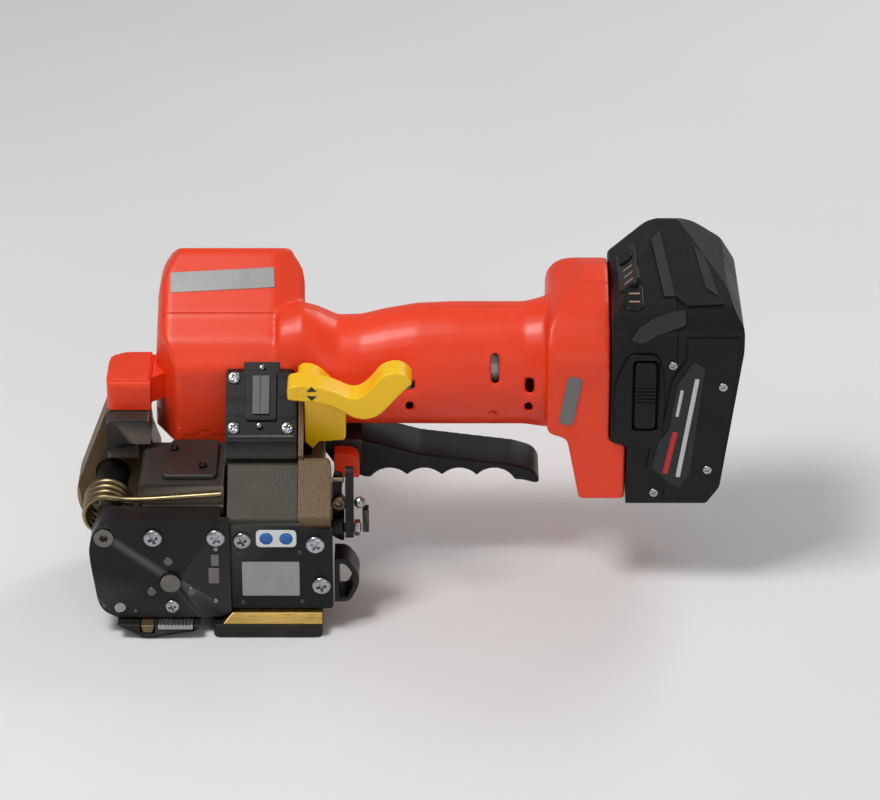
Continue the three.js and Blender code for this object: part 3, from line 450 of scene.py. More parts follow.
def rectangle(width, height, radius=0.0):
    half_w, half_h = width / 2, height / 2
    return rounded([(-half_w, -half_h), (half_w, -half_h), (half_w, half_h), (-half_w, half_h)], radius)


def slab(name, outline, low, high, place=Matrix.Identity(4), smooth=True):
    """An outline, given a thickness from low to high, at a place."""
    bm = bmesh.new()
    bottom, top = ([bm.verts.new(place @ (Vector((a, b, height)) * MM)) for a, b in outline]
                   for height in (low, high))
    bm.faces.new(top)
    bm.faces.new(reversed(bottom))
    for i in range(len(outline)):
        j = (i + 1) % len(outline)
        bm.faces.new((bottom[i], bottom[j], top[j], top[i]))
    return from_bmesh(name, bm, smooth)


def plate(name, outline, low, high, place=Matrix.Identity(4), edge=0.2, segments=2):
    """A slab with rounded edges."""
    return bevelled(slab(name, outline, low, high, place), edge, segments)


def lathed(name, profile, place=Matrix.Identity(4), sides=24):
    """A body of revolution; the profile's (radius, height) points start and end on the axis."""
    bm = bmesh.new()
    rings = []
    for radius, height in profile:
        angles = [2 * math.pi * i / sides for i in range(sides if radius else 1)]
        points = [Vector((radius * math.cos(a), radius * math.sin(a), height)) * MM for a in angles]
        rings.append([bm.verts.new(place @ point) for point in points])
    for lower, upper in zip(rings, rings[1:]):
        for i in range(sides):
            j = (i + 1) % sides
            if len(lower) == 1:
                bm.faces.new((lower[0], upper[j], upper[i]))
            elif len(upper) == 1:
                bm.faces.new((lower[i], lower[j], upper[0]))
            else:
                bm.faces.new((lower[i], lower[j], upper[j], upper[i]))
    return from_bmesh(name, bm)


def cut_by(made, *cutters):
    """Cuts closed objects out of a piece and removes them."""
    for cutter in cutters:
        boolean = made.modifiers.new("Cut", "BOOLEAN")
        boolean.operation = "DIFFERENCE"
        boolean.solver = "EXACT"
        boolean.object = cutter
    made = applied(made)
    for cutter in cutters:
        bpy.data.objects.remove(cutter)
    return made


# ---------------------------------------------------------------------------------------------
# Geometry node trees for what repeats or follows a path
# ---------------------------------------------------------------------------------------------

def new_tree(name, inputs):
    """A geometry node tree with one geometry input, the named inputs and one output."""
    tree = bpy.data.node_groups.new(name, "GeometryNodeTree")
    tree.interface.new_socket("Geometry", in_out="INPUT", socket_type="NodeSocketGeometry")
    tree.interface.new_socket("Geometry", in_out="OUTPUT", socket_type="NodeSocketGeometry")
    for label, kind in inputs:
        tree.interface.new_socket(label, in_out="INPUT", socket_type=kind)
    return tree, tree.nodes.new("NodeGroupInput"), tree.nodes.new("NodeGroupOutput")


def socket_id(tree, label):
    for item in tree.interface.items_tree:
        if item.item_type == "SOCKET" and item.in_out == "INPUT" and item.name == label:
            return item.identifier
    raise KeyError(label)


def run_tree(made, tree, **values):
    """Runs a tree on an object and returns the plain mesh object it makes."""
    modifier = made.modifiers.new(tree.name, "NODES")
    modifier.node_group = tree
    for label, value in values.items():
        modifier[socket_id(tree, label)] = value
    return applied(made)


def painted(tree, start, end, geometry):
    """Ends a tree: real geometry in the given material."""
    realize = tree.nodes.new("GeometryNodeRealizeInstances")
    paint = tree.nodes.new("GeometryNodeSetMaterial")
    tree.links.new(geometry, realize.inputs["Geometry"])
    tree.links.new(realize.outputs["Geometry"], paint.inputs["Geometry"])
    tree.links.new(start.outputs["Material"], paint.inputs["Material"])
    tree.links.new(paint.outputs["Geometry"], end.inputs["Geometry"])
    return tree


def point_vector(tree, name):
    """A vector that every point carries under a name."""
    read = tree.nodes.new("GeometryNodeInputNamedAttribute")
    read.data_type = "FLOAT_VECTOR"
    read.inputs["Name"].default_value = name
    return read.outputs["Attribute"]


def scatter_tree():
    """Puts one shape on every point, turned and sized by the point's attributes."""
    name = "Shape On Points"
    if name in bpy.data.node_groups:
        return bpy.data.node_groups[name]
    tree, start, end = new_tree(name, [("Shape", "NodeSocketObject"), ("Material", "NodeSocketMaterial")])
    shape = tree.nodes.new("GeometryNodeObjectInfo")
    rotate = tree.nodes.new("FunctionNodeEulerToRotation")
    scatter = tree.nodes.new("GeometryNodeInstanceOnPoints")
    for source, socket in (
            (start.outputs["Shape"], shape.inputs["Object"]),
            (point_vector(tree, "turn"), rotate.inputs["Euler"]),
            (start.outputs["Geometry"], scatter.inputs["Points"]),
            (shape.outputs["Geometry"], scatter.inputs["Instance"]),
            (rotate.outputs["Rotation"], scatter.inputs["Rotation"]),
            (point_vector(tree, "size"), scatter.inputs["Scale"])):
        tree.links.new(source, socket)
    return painted(tree, start, end, scatter.outputs["Instances"])


def scattered(name, shape, places, material):
    """One mesh with the shape at every place. The shape object is used up."""
    mesh = bpy.data.meshes.new(name)
    mesh.from_pydata([tuple(place.translation) for place in places], [], [])
    turn = mesh.attributes.new("turn", "FLOAT_VECTOR", "POINT")
    size = mesh.attributes.new("size", "FLOAT_VECTOR", "POINT")
    for i, place in enumerate(places):
        _, rotation, scale = place.decompose()
        turn.data[i].vector = rotation.to_euler()
        size.data[i].vector = scale
    made = run_tree(linked(name, mesh), scatter_tree(), Shape=shape, Material=material)
    bpy.data.objects.remove(shape)
    return made


def wire_tree():
    """A round wire along the curve that it is given."""
    tree, start, end = new_tree("Round Wire", [
        ("Radius", "NodeSocketFloat"), ("Sides", "NodeSocketInt"), ("Material", "NodeSocketMaterial")])
    circle = tree.nodes.new("GeometryNodeCurvePrimitiveCircle")
    sweep = tree.nodes.new("GeometryNodeCurveToMesh")
    sweep.inputs["Fill Caps"].default_value = True
    for source, socket in (
            (start.outputs["Radius"], circle.inputs["Radius"]),
            (start.outputs["Sides"], circle.inputs["Resolution"]),
            (start.outputs["Geometry"], sweep.inputs["Curve"]),
            (circle.outputs["Curve"], sweep.inputs["Profile Curve"])):
        tree.links.new(source, socket)
    return painted(tree, start, end, sweep.outputs["Mesh"])


def wire(name, points, radius, sides, material):
    """A smooth round wire through the points."""
    curve = bpy.data.curves.new(name, "CURVE")
    curve.dimensions = "3D"
    spline = curve.splines.new("POLY")
    spline.points.add(len(points) - 1)
    for target, point in zip(spline.points, points):
        target.co = (*(point * MM), 1.0)
    made = run_tree(linked(name, curve), wire_tree(), Radius=radius * MM, Sides=sides, Material=material)
    made.data.polygons.foreach_set("use_smooth", [True] * len(made.data.polygons))
    return made


# ---------------------------------------------------------------------------------------------
# Places taken from the frame, in millimetres
# ---------------------------------------------------------------------------------------------

def box(node):
    """The low and high corners of a CAD node, in millimetres."""
    return [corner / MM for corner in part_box(node)]


def centre(node):
    low, high = box(node)
    return (low + high) / 2


# In metres, as the skin that it parts is.
SPLIT_Y = (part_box("housing_front")[1].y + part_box("housing_rear")[0].y) / 2
COVER_Y = box("rocker_cover")[0].y
PLATE_Y = box("weld_front_plate")[0].y
BATTERY_Y = box("battery_body")[0].y
SHAFT = centre("shaft_sleeve")
WHEEL = centre("tension_wheel")


# ---------------------------------------------------------------------------------------------
# Housing
# ---------------------------------------------------------------------------------------------

# Vents in the handle's front: where each lies along the handle, and its low and high ends.
VENTS = ((70.8, 104.5, 111), (70.3, 92, 97.5), (113.2, 108.5, 124), (130.5, 103.6, 112), (130, 92, 97.5),
         (112, 87.5, 91.5))
VENT_REACH = 1.7
VENT_MARGIN = 1.6
# The two halves overlap at the seam to make one skin, and are parted again by a fine gap.
SEAM_REACH = 0.15 * MM
SEAM_OVERLAP = 0.3 * MM
SEAM_HALF_GAP = 0.07 * MM
TOWER_RIDGE = Vector((0, 62, 158))
TOWER_FOOT = Vector((0, 17, 126.8))
PLAQUE_X, PLAQUE_SHARE, PLAQUE_LEAN = -24.3, 0.635, 3.4


def tower_slope(x, share):
    """Place on the tower's sloping top, at a share of the way from its foot to its ridge."""
    spot = TOWER_FOOT.lerp(TOWER_RIDGE, share)
    return basis((x, spot.y, spot.z), (1, 0, 0), TOWER_RIDGE - TOWER_FOOT)


def by_a_vent(point):
    x, y, z = point / MM
    return y < 3 and any(
        abs(x - at) < VENT_REACH + VENT_MARGIN and low - VENT_MARGIN < z < high + VENT_MARGIN
        for at, low, high in VENTS)


def whole_housing(voxel):
    """Both housing halves as one smooth skin, before it is parted again."""
    bm = bmesh.new()
    for node in ("housing_front", "housing_rear"):
        bm.from_mesh(frame["nodes"][node].data)
    bmesh.ops.remove_doubles(bm, verts=bm.verts, dist=0.01 * MM)
    for vert in bm.verts:
        reach = vert.co.y - SPLIT_Y
        if abs(reach) < SEAM_REACH:
            vert.co.y = SPLIT_Y - math.copysign(SEAM_OVERLAP, reach)
    return remeshed(from_bmesh("housing_skin", bm), voxel, 6, keep=by_a_vent)


def parted(skin, name, side):
    """One side of the skin, closed where it was cut."""
    bm = bmesh.new()
    bm.from_mesh(skin.data)
    cut = bmesh.ops.bisect_plane(
        bm, geom=bm.verts[:] + bm.edges[:] + bm.faces[:], dist=1e-6,
        plane_co=(0, SPLIT_Y + side * SEAM_HALF_GAP, 0), plane_no=(0, -side, 0), clear_outer=True)
    rim = [item for item in cut["geom_cut"] if isinstance(item, bmesh.types.BMEdge)]
    bmesh.ops.triangle_fill(bm, edges=rim, use_beauty=True, use_dissolve=False)
    made = from_bmesh(name, bm)
    made.data.polygons.foreach_set("use_smooth", [
        abs(polygon.normal.y) <= 0.999 or abs(polygon.center.y - SPLIT_Y) >= 0.2 * MM
        for polygon in made.data.polygons])
    return made


class STRAP_OT_housing(bpy.types.Operator):
    """Build the orange housing halves, the shoulder cover and the pivot cap"""

    bl_idname = "strapping.housing"
    bl_label = "Housing"

    def execute(self, context):
        orange = moulded_plastic("orange_plastic", colour_of("housing"), rough=0.40, grain=0.04, coat=0.12)
        skin = whole_housing(sizes().skin)
        for node, side in (("housing_front", -1), ("housing_rear", 1)):
            stands_for(node, parted(skin, node + "_shell", side), orange)
        bpy.data.objects.remove(skin)
        rounded_copy("shoulder_cover", "_shell", orange, 1.4, 4, 28)
        rounded_copy("pivot_cap", "_shell", orange, 1.0, 3, 28)
        self.add_shoulder_seam(orange)
        self.add_skirt(orange)
        self.add_blanks()
        return {"FINISHED"}

    def add_shoulder_seam(self, orange):
        """Raised rim round the top of the shoulder cover."""
        low, high = box("shoulder_cover")
        left, right, near, far = low.x + 1.6, high.x - 0.6, low.y + 2.4, high.y - 1.5
        outline = rounded([(left, near, 3), (right, near, 1), (right, far, 1), (left, far, 11)], 0)
        rim = plate("shoulder_top_panel", outline, high.z - 1.2, high.z + 0.7, edge=0.6, segments=3)
        finished(rim, orange, "frame", "orange_plastic")

    def add_skirt(self, orange):
        """Lip below the tower's front edge, and the web between the tower and the shoulder cover."""
        lip = [(-59.2, 31), (-46.8, 8.15), (11.6, 8.15), (16.5, 16), (14.4, 17), (10.6, 10.4), (-45.8, 10.4),
               (-57.2, 32)]
        web = [(-61.5, 14), (-52, 22), (-52, 41), (-61.5, 41)]
        for name, outline, low, high, edge in (("tower_lip", lip, 72.6, 82, 0.5),
                                               ("shoulder_web", web, 92.9, 106.8, 1.0)):
            made = plate(name, rounded(outline, 1.5, 3), low, high, edge=edge, segments=3)
            finished(made, orange, "frame", "orange_plastic")

    def add_blanks(self):
        """Blank silver plaque on the tower's sloping top and blank grey badge on the battery mount."""
        place = tower_slope(PLAQUE_X, PLAQUE_SHARE) @ spin(PLAQUE_LEAN)
        plaque = plate("tower_plaque", rectangle(52.5, 11.6, 0.8), -0.6, 0.45, place, 0.12)
        finished(plaque, label_foil("tower_plaque_foil", (0.27, 0.27, 0.265)), "frame", "silver_label")
        place = on_front(150.5, box("housing_front")[0].y - 0.1, 106) @ spin(-10)
        badge = plate("mount_badge", rectangle(7.4, 27, 3), -0.4, 0.5, place)
        finished(badge, printed("badge_grey", (0.16, 0.15, 0.15)), "frame", "silver_label")


# ---------------------------------------------------------------------------------------------
# Battery
# ---------------------------------------------------------------------------------------------

# The battery's top starts at its foot and slopes up towards the back.
TOP_FOOT, TOP_RUN = Vector((0, -2, 154)), Vector((0, 64, 20))
# The battery's left shoulder starts at its foot and rises by this much for each millimetre across.
SHOULDER_FOOT, SHOULDER_RISE = Vector((170.6, 0, 151)), 0.886


def on_battery_shoulder(x, y):
    """A place on the battery's sloping left shoulder."""
    rise = math.atan(SHOULDER_RISE)
    return basis((x, y, SHOULDER_FOOT.z + (x - SHOULDER_FOOT.x) * SHOULDER_RISE),
                 (math.cos(rise), 0, math.sin(rise)), (0, 1, 0))


def on_battery_top(x, along):
    """A place on the battery's sloping top, some way along from its front."""
    return basis(TOP_FOOT + Vector((x, 0, 0)) + along * TOP_RUN.normalized(), (1, 0, 0), TOP_RUN)


def battery_panel(name, points, radius, low, high, edge, place, material):
    made = plate(name, rounded(points, radius, 3), low, high, place, edge, 3)
    return finished(made, material, "battery", "black_plastic")


class STRAP_OT_battery(bpy.types.Operator):
    """Build the battery's shells, its cover panel, latches and charge gauge"""

    bl_idname = "strapping.battery"
    bl_label = "Battery"

    def execute(self, context):
        tone = colour_of("battery")
        black = moulded_plastic("battery_plastic", tone, grain=0.12, spread=0.2, specular=0.26)
        # A lighter copy of the battery's black plastic, used as painted highlight on the top facets and the
        # brow.
        grey = moulded_plastic("battery_panel_grey", scaled(tone, 5.5), rough=0.5, grain=0.16, spread=0.2,
                               specular=0.3)
        for node in ("battery_body", "battery_cap"):
            rounded_copy(node, "_shell", black, 1.1, 3, 16)
        self.add_side_cover(black)
        self.add_top_panels(black, grey)
        self.add_latches(black)
        self.add_gauge(black)
        keep_node("cell_pack", moulded_plastic("cell_wrap", (0.02, 0.12, 0.05), rough=0.35))
        keep_node("terminal_rail", moulded_plastic("rail_plastic", tone, rough=0.5))
        return {"FINISHED"}

    def add_side_cover(self, black):
        """Raised panel with a stepped left edge on the front, a plain field on it, and its screws."""
        place = on_front(0, BATTERY_Y, 0)
        edge = [(207.8, 142.5), (207.8, 131.1), (200.8, 119.3), (196.5, 93), (191.4, 86.2), (188.8, 68.6),
                (198.3, 59.8), (197.4, 49.8), (218.0, 49.8), (224.8, 59), (233, 134), (233, 142.5)]
        battery_panel("battery_side_cover", edge, 1.2, -0.5, 1.3, 0.7, place, black)
        field = [(211.2, 130.1), (216.9, 126.2), (210.7, 66.6), (206, 58.8), (202, 60.5), (191.6, 69.6),
                 (194.4, 84.2), (199.8, 92), (203.4, 117.4)]
        battery_panel("battery_print_field", field, 0.8, 1.1, 1.75, 0.3, place,
                      printed("print_field_black", (0.004, 0.004, 0.005), 0.3))
        for name, x, z, lean, width, height, colour in (
                ("battery_red_bar", 200.6, 78.6, -11, 2.6, 24, (0.50, 0.015, 0.015)),
                ("battery_light_bar_long", 208.9, 92.5, -8.5, 2.2, 56, (0.55, 0.56, 0.58)),
                ("battery_light_bar_short", 204.6, 106.5, -8.5, 1.6, 15, (0.50, 0.51, 0.53))):
            bar = plate(name, rectangle(width, height, 0.5), 1.65, 1.85,
                        on_front(x, BATTERY_Y, z) @ spin(lean), 0.04, 1)
            finished(bar, printed(name + "_ink", colour), "battery", "black_plastic")
        spots = [on_front(x, BATTERY_Y - depth, z) for x, z, depth in (
            (201.0, 126.9, 0.0), (226.0, 115.6, 1.3), (219.5, 68.8, 1.3), (193.0, 55.0, 0.0))]
        heads = scattered("battery_screws", screw_head(2.3, 1.1), spots, screw_steel())
        finished(heads, None, "battery", "black_plastic")

    def add_top_panels(self, black, grey):
        """Raised block with facets on the sloping top, and the curved brow over the latch; the facets and the
        brow are in a lighter grey that is painted highlight.
        """
        slope = on_battery_top(0, 0)
        block = [(196.2, 57), (203, 64.5), (206.4, 63.5), (212.9, 49.2), (217.2, 40), (225, 23), (226, 2.6),
                 (207.8, 1.6), (202.2, 8.8)]
        battery_panel("battery_top_block", block, 0.8, -1.2, 1.0, 0.5, slope, black)
        # The lighter grey of these facets and of the brow is painted highlight on the black plastic.
        left = [(191.6, 50), (196.2, 57), (202.2, 8.8), (196.6, 8.8)]
        battery_panel("battery_top_facet_left", left, 0.5, -1.6, 0.7, 0.4, slope, grey)
        right = [(212.6, 45), (217.6, 37.6), (223.6, 8), (217.2, 14.3)]
        battery_panel("battery_top_facet_right", right, 0.6, 0.9, 1.35, 0.25, slope, grey)
        brow = [(207.0, 12.2), (200.9, 11.4), (191.4, 8.2), (184, 3.2), (179.5, -3.2), (186, -4.6),
                (193, -0.4), (201, 2.4), (207.0, 4.4)]
        edge = basis((0, -10, 144), (1, 0, 0), (0, 8, 10))
        battery_panel("battery_brow", brow, 1.6, -2.2, 1.1, 0.8, edge, grey)

    def add_latches(self, black):
        """Latch buttons with five gripping ridges, each in a raised surround that is deeper at its foot."""
        surround = [(-15, -22), (-5, -30), (5, -30), (9.5, -24), (9.5, 8), (6.5, 23), (-9, 23), (-16, 4)]
        for node, side in (("battery_latch_front", -1), ("battery_latch_rear", 1)):
            low, high = box(node)
            face = low.y if side < 0 else high.y
            size = high - low
            place = basis((centre(node).x, face, centre(node).z), (-side, 0, 0), (0, 0, 1))
            button = plate(node + "_core", rectangle(size.x, size.z, 2.5), -size.y, -0.8, place, 1.2, 4)
            stands_for(node, button, black)
            ridge = plate(node + "_ridge", rectangle(9.6, 1.1, 0.4), -0.6, 0.6, edge=0.35)
            spots = [place @ shift(0, 2 * i, -0.7) for i in range(-2, 3)]
            ridges = scattered(node + "_ridges", ridge, spots, black)
            finished(ridges, black, BODY_OF[node], SLOT_OF[node])
            outline = rounded([(-side * a, b) for a, b in surround], 5)
            rim = cut_by(slab(node + "_surround", outline, -5.2, -0.9, place),
                         slab(node + "_opening", rectangle(12.8, 39.2, 2.5), -8, 4, place))
            finished(bevelled(rim, 1.4, 4), black, "battery", "black_plastic")

    def add_gauge(self, black):
        """Oval test button and five charge lamps in a dark strip that bends over the shoulder."""
        button = plate("gauge_test_button", rectangle(8.6, 12.6, 4), -4, 1.9,
                       on_battery_shoulder(179.4, 46), 0.7, 3)
        stands_for("gauge_button", button, black)
        dark = printed("gauge_black", (0.003, 0.003, 0.003), 0.25)
        for name, width, length, low, high, place in (
                ("gauge_strip_upper", 12.4, 42, -1.5, 0.8, on_battery_shoulder(179.6, 34)),
                ("gauge_strip_lower", 9.6, 18, -2.5, 0.5, on_battery_top(181.4, 8.4))):
            strip = plate(name, rectangle(width, length, 4), low, high, place, 0.5, 3)
            finished(strip, dark, "battery", "black_plastic")
        lamp = plate("gauge_lamp", rectangle(5.4, 1.0, 0.3), 0, 0.45, edge=0.12)
        spots = [on_battery_shoulder(180.0, y) @ shift(0, 0, 0.7) for y in (32, 24.5, 17)]
        spots += [on_battery_top(181.8, along) @ shift(0, 0, 0.4) for along in (10.6, 4.8)]
        lamps = scattered("gauge_lamps", lamp, spots, printed("gauge_lamp_red", (0.42, 0.22, 0.18), 0.3))
        finished(lamps, None, "battery", "black_plastic")


# ---------------------------------------------------------------------------------------------
# Levers
# ---------------------------------------------------------------------------------------------

class STRAP_OT_levers(bpy.types.Operator):
    """Build the grip lever, the yellow weld lever and its bracket"""

    bl_idname = "strapping.levers"
    bl_label = "Levers"

    def execute(self, context):
        black = moulded_plastic("grip_black", (0.0045, 0.0045, 0.005), rough=0.4, grain=0.08, specular=0.28)
        yellow = moulded_plastic("yellow_plastic", colour_of("lever"), rough=0.3, grain=0.02, spread=0.06,
                                 coat=0.25)
        for node, voxel, rounds, material in (("grip_lever", 0.75, 8, black),
                                              ("weld_lever", 0.45, 12, yellow),
                                              ("lever_bracket", 0.5, 6, yellow)):
            stands_for(node, remeshed(copied(node, node + "_body"), voxel * MM, rounds), material)
        self.add_hub(yellow)
        self.add_arrows()
        return {"FINISHED"}

    def add_hub(self, yellow):
        """Smooth hub face over the lever's pivot."""
        pin = centre("lever_pin")
        hub = lathed("lever_hub", [(0, -1.4), (3.6, -1.4), (3.6, 0.35), (2.6, 0.62), (0, 0.7)],
                     on_front(pin.x, box("weld_lever")[0].y + 0.75, pin.z), 36)
        finished(bevelled(hub, 0.2, 2, 40), yellow, "weld_lever", "yellow_plastic")

    def add_arrows(self):
        """Two plain black triangles by the pivot that show which way the lever moves."""
        ink = printed("arrow_black", (0.01, 0.01, 0.01))
        for name, z, turn in (("lever_arrow_up", 120.8, 0), ("lever_arrow_down", 116.0, 180)):
            place = on_front(22.2, box("weld_lever")[0].y, z) @ spin(turn)
            arrow = plate(name, [(-2.6, -1.2), (2.6, -1.2), (0, 1.5)], -0.2, 0.12, place, 0.03, 1)
            finished(arrow, ink, "weld_lever", "yellow_plastic")


# ---------------------------------------------------------------------------------------------
# Castings, plates and the rocker
# ---------------------------------------------------------------------------------------------

def rounded_copy(node, ending, material, width, segments=2, angle=24):
    """A CAD node's own shape with its edges rounded, in the node's place."""
    return stands_for(node, bevelled(copied(node, node + ending), width, segments, angle), material)


def cast_piece(node, material, width=None):
    return rounded_copy(node, "_casting", material, width or sizes().cast_edge / MM, 3)


def plate_piece(node, material, width=None, segments=2):
    return rounded_copy(node, "_part", material, width or sizes().edge / MM, segments)


def domed_rivet(radius, height):
    """A low domed head that stands on z = 0."""
    return lathed("rivet_shape", [
        (0, -0.4), (radius, -0.4), (radius, height * 0.35), (radius * 0.85, height * 0.75),
        (radius * 0.5, height * 0.95), (0, height)])


def dowel(radius, height, sides=24):
    """A flat pin end with a chamfer and a turned centre mark."""
    chamfer = radius * 0.16
    return bevelled(lathed("dowel_shape", [
        (0, -0.6), (radius, -0.6), (radius, height - chamfer), (radius - chamfer, height),
        (radius * 0.22, height), (0, height - radius * 0.12)], sides=sides), 0.02, 1, 40)


class STRAP_OT_rocker(bpy.types.Operator):
    """Build the swinging front: cover, casting, lid, spring and their small parts"""

    bl_idname = "strapping.rocker"
    bl_label = "Rocker"

    def execute(self, context):
        cover = copied("rocker_cover", "rocker_cover_part", split_faces=True)
        cover = flat_faced(bevelled(cover, 0.5, 2, 24, weighted=False))
        stands_for("rocker_cover", cover, coated_metal("rocker_black_coat", colour_of("coat"), rough=0.34))
        cast_piece("rocker_casting", cast_metal("rocker_black_cast", colour_of("casting"), 0.5, 0.35), 0.9)
        lid_black = cast_metal("lid_black_cast", scaled(colour_of("casting"), 1.6), 0.42, 0.4)
        plate_piece("casting_lid", lid_black, 0.7, 3)
        self.add_spring()
        self.add_pins()
        self.add_strip()
        return {"FINISHED"}

    def add_spring(self):
        """Coil round the shaft sleeve, with a leg that bends forward and lies along the cover's top."""
        brassy = machined_steel("spring_wire", (0.40, 0.30, 0.17), 0.32, (1.0, 1.0, 1.0), 0.9)
        start_y, end_y, leg_y = -15.2, -34, -39.8
        radius, turns, steps, bend_steps = 11, 3.5, 150, 20
        points = []
        for i in range(steps + 1):
            t = i / steps
            angle = math.pi / 2 + 2 * math.pi * turns * (1 - t)
            points.append(Vector((SHAFT.x + radius * math.cos(angle), start_y + (end_y - start_y) * t,
                                  SHAFT.z + radius * math.sin(angle))))
        leg_start, leg_end = Vector((-45, leg_y, 68.8)), Vector((-22.8, leg_y, 70.6))
        bend = [points[-1], Vector((-74, end_y - 2.6, 66.2)), Vector((-67, leg_y, 67)), leg_start]
        points += [curve_point(bend, i / bend_steps) for i in range(1, bend_steps)]
        coil = wire("torsion_coil", [*points, leg_start, leg_end], 1.5, sizes().coil_sides, brassy)
        stands_for("torsion_spring", coil, brassy)

    def add_pins(self):
        """Pin ends, the wheel's axle end and the countersunk screw in the cover."""
        pin_radius = 2.4
        spots = [on_front(x, COVER_Y, z) @ Matrix.Scale(radius / pin_radius, 4) for x, z, radius in (
            (-49.1, 41.2, 2.4), (-57.8, 23.9, 2.4), (-38, 23.9, 2.4), (-81.7, 15.7, 1.0), (-66.2, 12.6, 1.0))]
        pins = scattered("rocker_pins", dowel(pin_radius, 0.5), spots,
                         machined_steel("pin_steel", (0.16, 0.155, 0.15), 0.3))
        finished(pins, None, "rocker", "black_metal")
        axle_end = scattered("rocker_axle_cap", dowel(4.7, 0.45, 40), [on_front(WHEEL.x, COVER_Y, WHEEL.z)],
                             machined_steel("axle_cap_steel", (0.075, 0.07, 0.065), 0.3))
        finished(axle_end, None, "rocker", "black_metal")
        foot_screw = scattered("rocker_foot_screw", screw_head(2.8, 0.35), [on_front(-73.8, COVER_Y, 14.6)],
                               screw_steel())
        finished(foot_screw, None, "rocker", "bright_steel")

    def add_strip(self):
        """Narrow strip by the cover's right edge: two blank squares between two rivets."""
        grey = printed("strip_grey", (0.16, 0.145, 0.14), 0.5)
        for name, x, z, width, height in (("rocker_strip_upper", -25.9, 42.2, 3.8, 6.4),
                                          ("rocker_strip_lower", -26.6, 33.3, 5.2, 8.6)):
            square = plate(name, rectangle(width, height, 0.5), -0.3, 0.55, on_front(x, COVER_Y, z), 0.15)
            finished(square, grey, "rocker", "black_metal")
        spots = [on_front(x, COVER_Y, z) for x, z in ((-25.4, 48.4), (-26.0, 18.6))]
        rivets = scattered("rocker_strip_rivets", domed_rivet(1.3, 0.7), spots,
                           machined_steel("rivet_steel", (0.30, 0.29, 0.27), 0.34))
        finished(rivets, None, "rocker", "black_metal")


def curve_point(points, t):
    """A point of the cubic curve through four controls."""
    a, b, c, d = points
    s = 1 - t
    first = a * s ** 3 + (a + (b - a) * 1.4) * 3 * s * s * t
    return first + (d - (d - c) * 1.2) * 3 * s * t * t + d * t ** 3


class STRAP_OT_castings(bpy.types.Operator):
    """Build the fixed castings: base, main casting, arch, gear housing, sleeve and plates"""

    bl_idname = "strapping.castings"
    bl_label = "Castings and base"

    def execute(self, context):
        cast = cast_metal("frame_black_cast", colour_of("casting"), rough=0.5, metal=0.35)
        bronze = cast_metal("bronze_cast", colour_of("bronze"), rough=0.46, metal=0.75, grain=0.3,
                            wear=(0.42, 0.31, 0.2))
        blued = coated_metal("blued_steel", (0.02, 0.019, 0.018), metal=0.5, dirt=0.8)
        for node in ("main_casting", "arch_housing"):
            cast_piece(node, cast)
        cast_piece("tension_gear_housing", bronze, 1.3)
        for node in ("base_frame", "tension_foot", "strap_guide", "link_boss", "grip_fork"):
            plate_piece(node, blued, 0.6)
        gold = machined_steel("gold_plate", colour_of("brass"), 0.34, (1.0, 22.0, 1.0), 0.7)
        gripper = machined_steel("gripper_steel", (0.46, 0.46, 0.47), 0.4, (1.0, 1.0, 20.0))
        plate_piece("shaft_sleeve", coated_metal("sleeve_black", colour_of("casting"), 0.4, 0.4), 0.6, 3)
        plate_piece("wear_plate", gold, 0.5)
        plate_piece("gripper_plate", gripper, 0.3)
        cast_piece("gripper_clamp", bronze, 0.6)
        plate_piece("rocker_shaft", machined_steel("shaft_steel", (0.19, 0.18, 0.17), 0.34), 0.5)
        return {"FINISHED"}


# ---------------------------------------------------------------------------------------------
# Weld head
# ---------------------------------------------------------------------------------------------

def name_slope():
    """Place on the name cover's slope: origin at its foot, x to the right, y up the slope."""
    return basis((0, box("name_cover")[0].y, 90.4), (1, 0, 0), (0, 1, 1))


